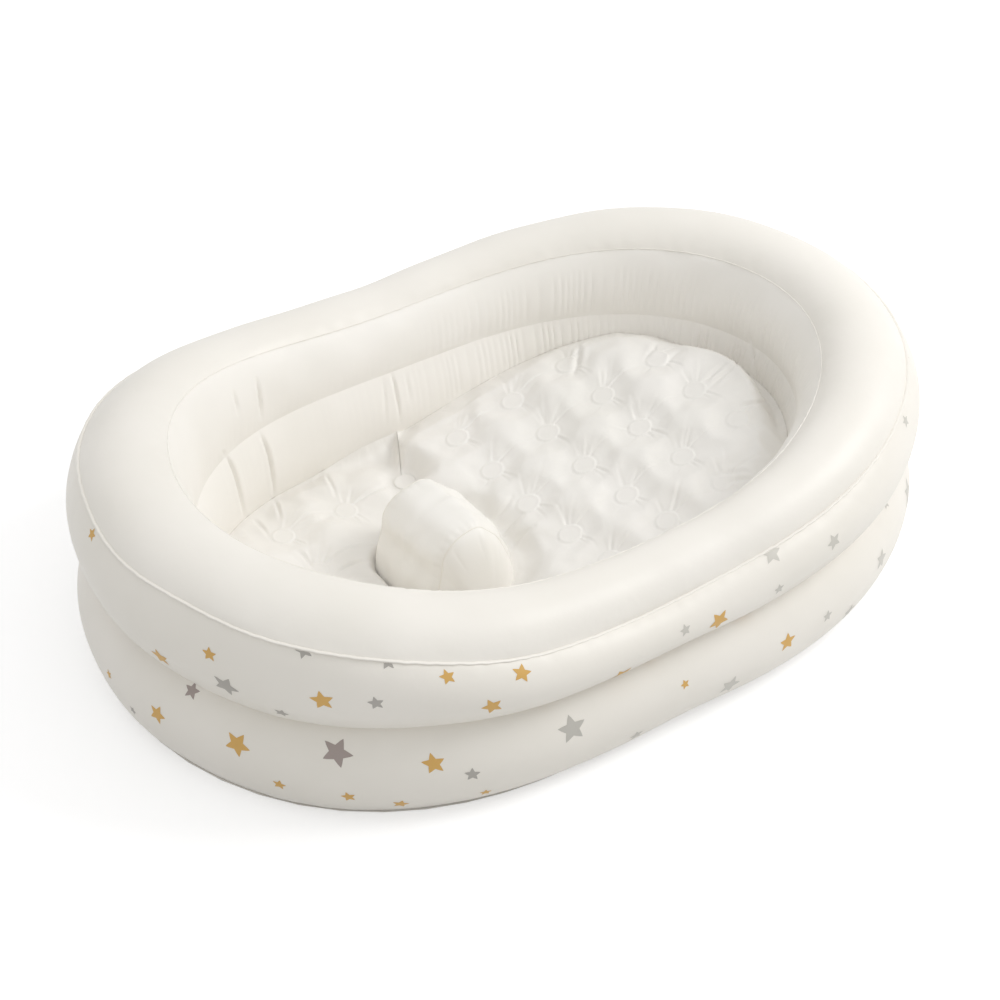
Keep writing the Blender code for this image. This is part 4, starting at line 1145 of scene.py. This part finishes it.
def buttonFolds(spots, buttons, seed):
    # the lasting creases between buttons, and a fan of fine gathers on the upper side
    rng = np.random.default_rng(seed)
    total = np.zeros(len(spots))
    bend = tuft["fanBend"]
    stray = tuft["strayBend"]
    for spot in buttons:
        rel = spots - spot
        far = np.linalg.norm(rel, axis=1)
        close = far < tuft["around"]
        rel, far = rel[close], far[close]
        depth = np.zeros(len(rel))
        out = far - pillow["buttonRadius"]
        for middle, strong, reach, curve, width in tuft["creases"]:
            heading = math.radians(middle + rng.uniform(-1, 1) * tuft["headingSpread"])
            depth += oneFold(rel, far, heading, reach * rng.uniform(*tuft["reachSpread"]),
                             rng.uniform(*tuft["fall"]) * strong, curve, width, tuft["lip"])
        for _ in range(rng.integers(*tuft["fanCount"])):
            heading = math.radians(tuft["fanMiddle"] + rng.uniform(-1, 1) * tuft["fanSpread"])
            ray = oneFold(rel, far, heading, rng.uniform(*tuft["fanReach"]), rng.uniform(*tuft["fanFall"]),
                          rng.uniform(-bend, bend), tuft["fanWidth"], tuft["fanLip"])
            depth += ray * smooth(0, tuft["fanStart"], out)
        for _ in range(rng.integers(*tuft["strayCount"])):
            depth += oneFold(rel, far, rng.uniform(0, 2 * math.pi), rng.uniform(*tuft["strayReach"]),
                             rng.uniform(*tuft["fanFall"]), rng.uniform(-stray, stray), tuft["fanWidth"],
                             tuft["strayLip"])
        total[close] += depth
    return total


def finishPillow(name, points, faces, buttons, outline, seed):
    top = makeMesh(name, points, faces, [floorVinyl])
    fine = top.modifiers.new("fine", "SUBSURF")
    fine.levels = 1
    fine.render_levels = fine.levels
    seen = top.evaluated_get(bpy.context.evaluated_depsgraph_get())
    mesh = bpy.data.meshes.new_from_object(seen)
    top.modifiers.remove(fine)
    old = top.data
    top.data = mesh
    bpy.data.meshes.remove(old)
    bm = bmesh.new()
    bm.from_mesh(mesh)
    spots = np.array([tuple(vert.co) for vert in bm.verts])
    flat = spots[:, :2]
    gap, _ = outlineGap(flat, outline)
    folds = buttonFolds(flat, buttons, seed) + creaseMoves(spots, creaseShape["floorLip"])
    folds = folds * smooth(*tuft["foldStart"], gap)
    out = np.linalg.norm(flat[:, None] - buttons[None], axis=2).min(1) - pillow["buttonRadius"]
    ripple = tuft["ripple"] * waves(flat[:, 0], flat[:, 1], tuft["rippleLength"], seed + 1)
    ripple = ripple * smooth(*tuft["rippleStart"], out)
    middle = flat - (outline.max(0) + outline.min(0)) / 2
    edgeRun = np.arctan2(middle[:, 1], middle[:, 0]) * tuft["meanRadius"]
    beat = edgeRun / tuft["puckerLength"]
    beat = beat + tuft["wander"] * waves(edgeRun, 0 * edgeRun, tuft["wanderLength"], seed + 2)
    deep = tuft["deep"] + tuft["deepSpread"] * waves(edgeRun, 0 * edgeRun, tuft["deepLength"], seed + 3)
    pucker = -tuft["pucker"] * np.abs(np.sin(beat)) ** tuft["puckerSharp"] * deep
    pucker = pucker * np.exp(-(gap / tuft["puckerReach"]) ** 2) * smooth(*tuft["puckerStart"], gap)
    ringRise = tuft["ringRise"] * np.exp(-((out + tuft["ringInset"]) / tuft["ringWidth"]) ** 2)
    moat = -tuft["moat"] * np.exp(-((out - tuft["moatOut"]) / tuft["moatWidth"]) ** 2)
    move = (folds + ripple + pucker + ringRise + moat) * smooth(0, tuft["edgeStart"], gap)
    for vert, amount in zip(bm.verts, move):
        vert.co.z += float(amount)
    # close it below
    edges = [edge for edge in bm.edges if edge.is_boundary]
    made = bmesh.ops.extrude_edge_only(bm, edges=edges)
    for item in made["geom"]:
        if isinstance(item, bmesh.types.BMVert):
            item.co.z = ring["sheet"] + ring["gap"]
    bmesh.ops.holes_fill(bm, edges=[edge for edge in bm.edges if edge.is_boundary], sides=0)
    bm.to_mesh(mesh)
    bm.free()
    facesOut(top)
    mesh.shade_smooth()
    sharpEdges(top, pillow["sharpAngle"])
    print(name, "faces:", len(mesh.polygons))
    return top


def seatRound(x):
    return x * 0 + pillow["seatRound"]


def backRound(x):
    atHead = smooth(*pillow["roundSpan"], x)
    return pillow["backRound"] + (pillow["headRound"] - pillow["backRound"]) * atHead


def addPillow(name, node, sign, side, level, edge, round_):
    wall, fold = pillowOutline(sign)
    outline = np.concatenate((wall, fold[1:-1]))
    buttons = buttonSpots(pillow[side + "First"], pillow[side + "Pitch"], outline)
    seed = pillow[side + "Seed"]
    depth = pillow[side + "Tuft"]
    points, faces = makePillow(name, buttons, wall, fold, level, edge, round_, depth, seed, sign)
    made = finishPillow(name, points, faces, buttons, outline, seed + 1)
    if sign < 0:
        bedFitting(made, "floor_valve_flange")
        bedFitting(made, "drain_body", True)
    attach(made, "tub")
    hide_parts(node)


addPillow("seat", "seat_cushion", -1, "seat", seatLevel, seatEdge, seatRound)
addPillow("backrest", "backrest_cushion", 1, "back", backLevel, backEdge, backRound)

# the button's rings from its skirt in to its middle: share of the radius, and height above the fold
foldButtonRings = ((1.0, -0.0040), (1.0, 0.0004), (0.94, 0.0009), (0.82, 0.0007), (0.0001, 0.0006))


def makeFoldButton(sign):
    # one more welded button, right on the fold between the two pillows
    along, across, height, slope = pillow["foldButton"]
    turns = np.arange(pillow["buttonSides"]) * 2 * math.pi / pillow["buttonSides"]
    rings = []
    for share, rise in foldButtonRings:
        flat = pillow["buttonRadius"] * share * np.stack((np.cos(turns), np.sin(turns)), -1)
        z = height + rise + slope * flat[:, 0]
        rings.append(np.column_stack((along + flat[:, 0], sign * across + flat[:, 1], z)))
    item = makeMesh("foldButtonFar" if sign > 0 else "foldButtonNear", np.array(rings).reshape(-1, 3),
                    gridFaces(len(rings), len(turns), False, True).tolist(), [floorVinyl])
    facesOut(item)
    sharpEdges(item, pillow["sharpAngle"])
    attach(item, "tub")


for sign in (1, -1):
    makeFoldButton(sign)
print("floor pillows tufted")


# the saddle horn: an arched body with a sewn-in panel at each end

horn = dict(
    outline=((-0.561, 0.0), (-0.558, 0.12), (-0.523, 0.32), (-0.473, 0.54), (-0.443, 0.75),
             (-0.325, 0.905), (-0.156, 0.985), (0.032, 1.0), (0.165, 0.891), (0.271, 0.783),
             (0.363, 0.615), (0.445, 0.42), (0.498, 0.20), (0.533, 0.0)),
    # place along the horn, and its height and width there
    stations=((-1.0, 1.0, 0.776), (-0.93, 1.023, 0.838), (-0.8, 1.041, 0.895), (-0.5, 1.043, 0.954),
              (0.0, 1.013, 0.998), (0.5, 0.985, 0.996), (0.8, 0.969, 0.962), (0.93, 0.948, 0.923),
              (1.0, 0.921, 0.871)),
    aroundSteps=150, alongSteps=120, stationSteps=400, domeSteps=28, domeShape=(2.4, 0.62), sharpAngle=50,
    # gathers that run in from both end seams, and soft slack
    puckers=0.0009, puckerLength=0.0105, puckerLean=0.004, puckerReach=0.010, puckerFall=1.5,
    puckerStart=0.0025, around=0.24, slack=0.0009, slackLength=0.045, slackStretch=2, slackStart=0.01,
    footFade=0.006, heart=0.3,
    # folds of the end panels
    panelFold=0.0012, panelDrop=0.0010, panelFolds=7, panelSway=(1.3, 3), panelSharp=0.6, panelReach=0.20,
    panelStart=0.03, seamRadius=0.0007, seamFlat=1.1, seamSides=10,
)


def fineCurve(points, count):
    # an even run of points on a smooth curve through the given ones
    given = np.array(points)
    before = np.concatenate((given[:1] * 2 - given[1:2], given[:-1]))
    after = np.concatenate((given[1:], given[-1:] * 2 - given[-2:-1]))
    later = np.concatenate((given[2:], given[-1:] * 2 - given[-2:-1], given[-1:] * 3 - given[-2:-1] * 2))
    pieces = []
    for p0, p1, p2, p3 in list(zip(before, given, after, later))[:-1]:
        t = np.linspace(0, 1, 24, endpoint=False)[:, None]
        pieces.append(0.5 * (2 * p1 + (p2 - p0) * t + (2 * p0 - 5 * p1 + 4 * p2 - p3) * t ** 2
                             + (3 * p1 - p0 - 3 * p2 + p3) * t ** 3))
    curve = np.concatenate(pieces + [given[-1:]])
    step = np.linalg.norm(np.diff(curve, axis=0), axis=1)
    at = np.concatenate(((0,), np.cumsum(step)))
    even = np.linspace(0, at[-1], count)
    return np.stack([np.interp(even, at, curve[:, k]) for k in range(curve.shape[1])], -1)


def makeHorn():
    arch = fineCurve(horn["outline"], horn["aroundSteps"])
    h = hornSize
    height = h["top"] - h["foot"]
    t = np.linspace(-1, 1, horn["alongSteps"] + 1)
    scale = fineCurve(horn["stations"], horn["stationSteps"])
    tall = np.interp(t, scale[:, 0], scale[:, 1])
    wide = np.interp(t, scale[:, 0], scale[:, 2])
    points = []
    for station, size, width in zip(t, tall, wide):
        y = h["middle"] + station * h["halfLength"]
        x = arch[:, 0] * h["width"] * width
        z = arch[:, 1] * height * size
        points.append(np.stack((h["centre"] + x, np.full_like(x, y), h["foot"] + z), -1))
    points = np.array(points)
    aroundRun = np.linspace(0, horn["around"], len(arch))[None]
    fromEnd = (h["halfLength"] * (1 - np.abs(t)))[:, None]
    lean = horn["puckerLean"] * np.sign(t)[:, None]
    gathers = pleats(aroundRun + lean + 0 * fromEnd, horn["puckerLength"], 81)
    gathers = gathers * np.exp(-(fromEnd / horn["puckerReach"]) ** horn["puckerFall"])
    gathers = gathers * smooth(0.0, horn["puckerStart"], fromEnd)
    soft = waves(aroundRun + 0 * fromEnd, fromEnd * horn["slackStretch"], horn["slackLength"], 82)
    slack = horn["slack"] * soft * smooth(0, horn["slackStart"], fromEnd)
    normal = np.cross(np.gradient(points, axis=0), np.gradient(points, axis=1))
    normal = normal / np.linalg.norm(normal, axis=-1, keepdims=True)
    middle = np.array((h["centre"], 0, h["foot"] + horn["heart"] * height))
    flip = np.sign(((points - middle) * normal).sum(-1).mean())
    footFade = smooth(0, horn["footFade"], points[..., 2] - h["foot"])
    points = points + flip * normal * ((horn["puckers"] * gathers + slack) * footFade)[..., None]
    # domed panel at each end
    rows = [points]
    shares = np.cos(np.linspace(0, math.pi / 2, horn["domeSteps"]))[1:]
    squareness, roundness = horn["domeShape"]
    sway, beat = horn["panelSway"]
    for sign in (1, -1):
        edge = points[-1] if sign > 0 else points[0]
        turn = np.linspace(0, math.pi, len(edge)) * horn["panelFolds"]
        panel = []
        for share in shares:
            loop = edge.copy()
            loop[:, 0] = h["centre"] + (edge[:, 0] - h["centre"]) * share
            loop[:, 2] = h["foot"] + (edge[:, 2] - h["foot"]) * share
            bulge = h["farDome" if sign > 0 else "dome"] * (1 - share ** squareness) ** roundness
            crumple = np.abs(np.sin(turn + sway * math.sin(beat * share + sign))) ** horn["panelSharp"]
            fold = horn["panelFold"] * crumple - horn["panelDrop"]
            fold = fold * np.exp(-((1 - share) / horn["panelReach"]) ** 2)
            fold = fold * smooth(0, horn["panelStart"], 1 - share)
            loop[:, 1] = edge[:, 1] + sign * (bulge + fold)
            panel.append(loop)
        if sign > 0:
            rows.append(np.array(panel))
        else:
            rows.insert(0, np.array(panel[::-1]))
    return np.concatenate(rows)


hornPoints = makeHorn()
hornFaces = gridFaces(*hornPoints.shape[:2], False, True).tolist()
# the horn is the floor film painted lighter, painted light for its brighter lit look
hornPaintedLightVinyl = addVinyl("hornPaintedLightVinyl", vinyl["horn"], vinyl["roughness"] + 0.04)
hornBody = makeMesh("horn", hornPoints.reshape(-1, 3), hornFaces, [hornPaintedLightVinyl])
bm = bmesh.new()
bm.from_mesh(hornBody.data)
bmesh.ops.remove_doubles(bm, verts=bm.verts, dist=1e-6)
bmesh.ops.holes_fill(bm, edges=[edge for edge in bm.edges if edge.is_boundary], sides=0)
bm.to_mesh(hornBody.data)
bm.free()
facesOut(hornBody)
bedFitting(hornBody, "horn_valve_flange")
hornBody.data.shade_smooth()
sharpEdges(hornBody, horn["sharpAngle"])
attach(hornBody, "tub")
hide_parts("horn_body", "horn_end_near", "horn_end_far")


def makeHornSeam(sign):
    rows = horn["domeSteps"] - 1
    line = hornPoints[-rows - 1] if sign > 0 else hornPoints[rows]
    side = np.array((0.0, 1.0, 0.0))
    turns = np.arange(horn["seamSides"]) * 2 * math.pi / horn["seamSides"]
    bead = []
    for index in range(len(line)):
        run = line[min(index + 1, len(line) - 1)] - line[max(index - 1, 0)]
        up = np.cross(run / np.linalg.norm(run), side)
        bead.append([line[index] + horn["seamRadius"]
                     * (math.cos(a) * side * horn["seamFlat"] + math.sin(a) * up) for a in turns])
    seam = makeMesh("hornSeamFar" if sign > 0 else "hornSeamNear", np.array(bead).reshape(-1, 3),
                    gridFaces(len(line), len(turns), False, True).tolist(), [weldVinyl])
    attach(seam, "tub")


for sign in (-1, 1):
    makeHornSeam(sign)
print("horn filled")


# valves and drain keep their shapes and get a clear, slightly milky film

clear = addVinyl("clearVinyl", vinyl["fitting"], 0.22, 0.1, 0.02)
base = addVinyl("baseVinyl", vinyl["floor"], 0.45)
for name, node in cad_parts.items():
    if "valve" in name or "drain" in name:
        node.data.materials.clear()
        node.data.materials.append(clear)
    if name in ("base_sheet", "partition_web"):
        node.data.materials.clear()
        node.data.materials.append(base)
print("fittings coated")


# light, floor and camera

stage = dict(
    keyPlace=(2.96, -1.38, 2.94), keyAim=(0, 0, 0.1), keySize=2.1, keyPower=72, skyHigh=0.94, skyLow=0.40,
    skyTop=0.9, floorSize=30.0, floorColour=0.74, floorRoughness=0.9, floorLift=0.42,
)


def whiteSeen(tree):
    # 1 for what the camera sees directly, in a reflection or through a clear piece
    rays = addNode(tree, "LightPath")
    seen = rays.outputs["Is Camera Ray"]
    for name in ("Is Glossy Ray", "Is Transmission Ray"):
        either = addNode(tree, "Math")
        either.operation = "MAXIMUM"
        tree.links.new(seen, either.inputs[0])
        tree.links.new(rays.outputs[name], either.inputs[1])
        seen = either.outputs["Value"]
    return seen


lamp = bpy.data.lights.new("keyLamp", "AREA")
lamp.shape = "DISK"
lamp.size = stage["keySize"]
lamp.energy = stage["keyPower"]
key = bpy.data.objects.new("keyLamp", lamp)
key.location = stage["keyPlace"]
aim = Vector(stage["keyAim"]) - Vector(stage["keyPlace"])
key.rotation_euler = aim.to_track_quat("-Z", "Y").to_euler()
scene.collection.objects.link(key)

world = bpy.data.worlds.new("whiteRoom")
scene.world = world
world.use_nodes = True
tree = world.node_tree
tree.nodes.clear()
worldOut = addNode(tree, "OutputWorld")
room = addNode(tree, "Background", Color=(1, 1, 1, 1))
heading = addNode(tree, "TexCoord")
split = addNode(tree, "SeparateXYZ")
# the room's light grows from the horizon up
dome = addNode(tree, "MapRange", **{"From Min": 0.0, "From Max": stage["skyTop"],
                                    "To Min": stage["skyLow"], "To Max": stage["skyHigh"]})
tree.links.new(heading.outputs["Generated"], split.inputs["Vector"])
tree.links.new(split.outputs["Z"], dome.inputs["Value"])
tree.links.new(dome.outputs["Result"], room.inputs["Strength"])
backdrop = addNode(tree, "Background", Color=(1, 1, 1, 1), Strength=1.0)
pick = addNode(tree, "MixShader")
tree.links.new(whiteSeen(tree), pick.inputs["Fac"])
tree.links.new(room.outputs["Background"], pick.inputs[1])
tree.links.new(backdrop.outputs["Background"], pick.inputs[2])
tree.links.new(pick.outputs["Shader"], worldOut.inputs["Surface"])

half = stage["floorSize"] / 2
ground = makeMesh("ground", [(-half, -half, 0), (half, -half, 0), (half, half, 0), (-half, half, 0)],
                  [(0, 1, 2, 3)], [])
paper = bpy.data.materials.new("paper")
paper.use_nodes = True
tree = paper.node_tree
shader = tree.nodes["Principled BSDF"]
shader.inputs["Base Color"].default_value = (stage["floorColour"],) * 3 + (1,)
shader.inputs["Roughness"].default_value = stage["floorRoughness"]
# the camera sees the floor a little lifted, so open floor is white and the shadow stays
lift = addNode(tree, "Math")
lift.operation = "MULTIPLY"
lift.inputs[1].default_value = stage["floorLift"]
tree.links.new(whiteSeen(tree), lift.inputs[0])
shader.inputs["Emission Color"].default_value = (1, 1, 1, 1)
tree.links.new(lift.outputs["Value"], shader.inputs["Emission Strength"])
ground.data.materials.append(paper)

target = Vector(cameraTarget())
lens = bpy.data.cameras.new("camera")
lens.lens = camera["lens"]
lens.sensor_width = camera["sensor"]
eye = bpy.data.objects.new("camera", lens)
eye.location = target + Vector(cameraAxes()[2]) * camera["distance"]
eye.rotation_euler = (target - eye.location).to_track_quat("-Z", "Y").to_euler()
scene.collection.objects.link(eye)
scene.camera = eye
scene.view_settings.view_transform = "Standard"
print("lit and framed")
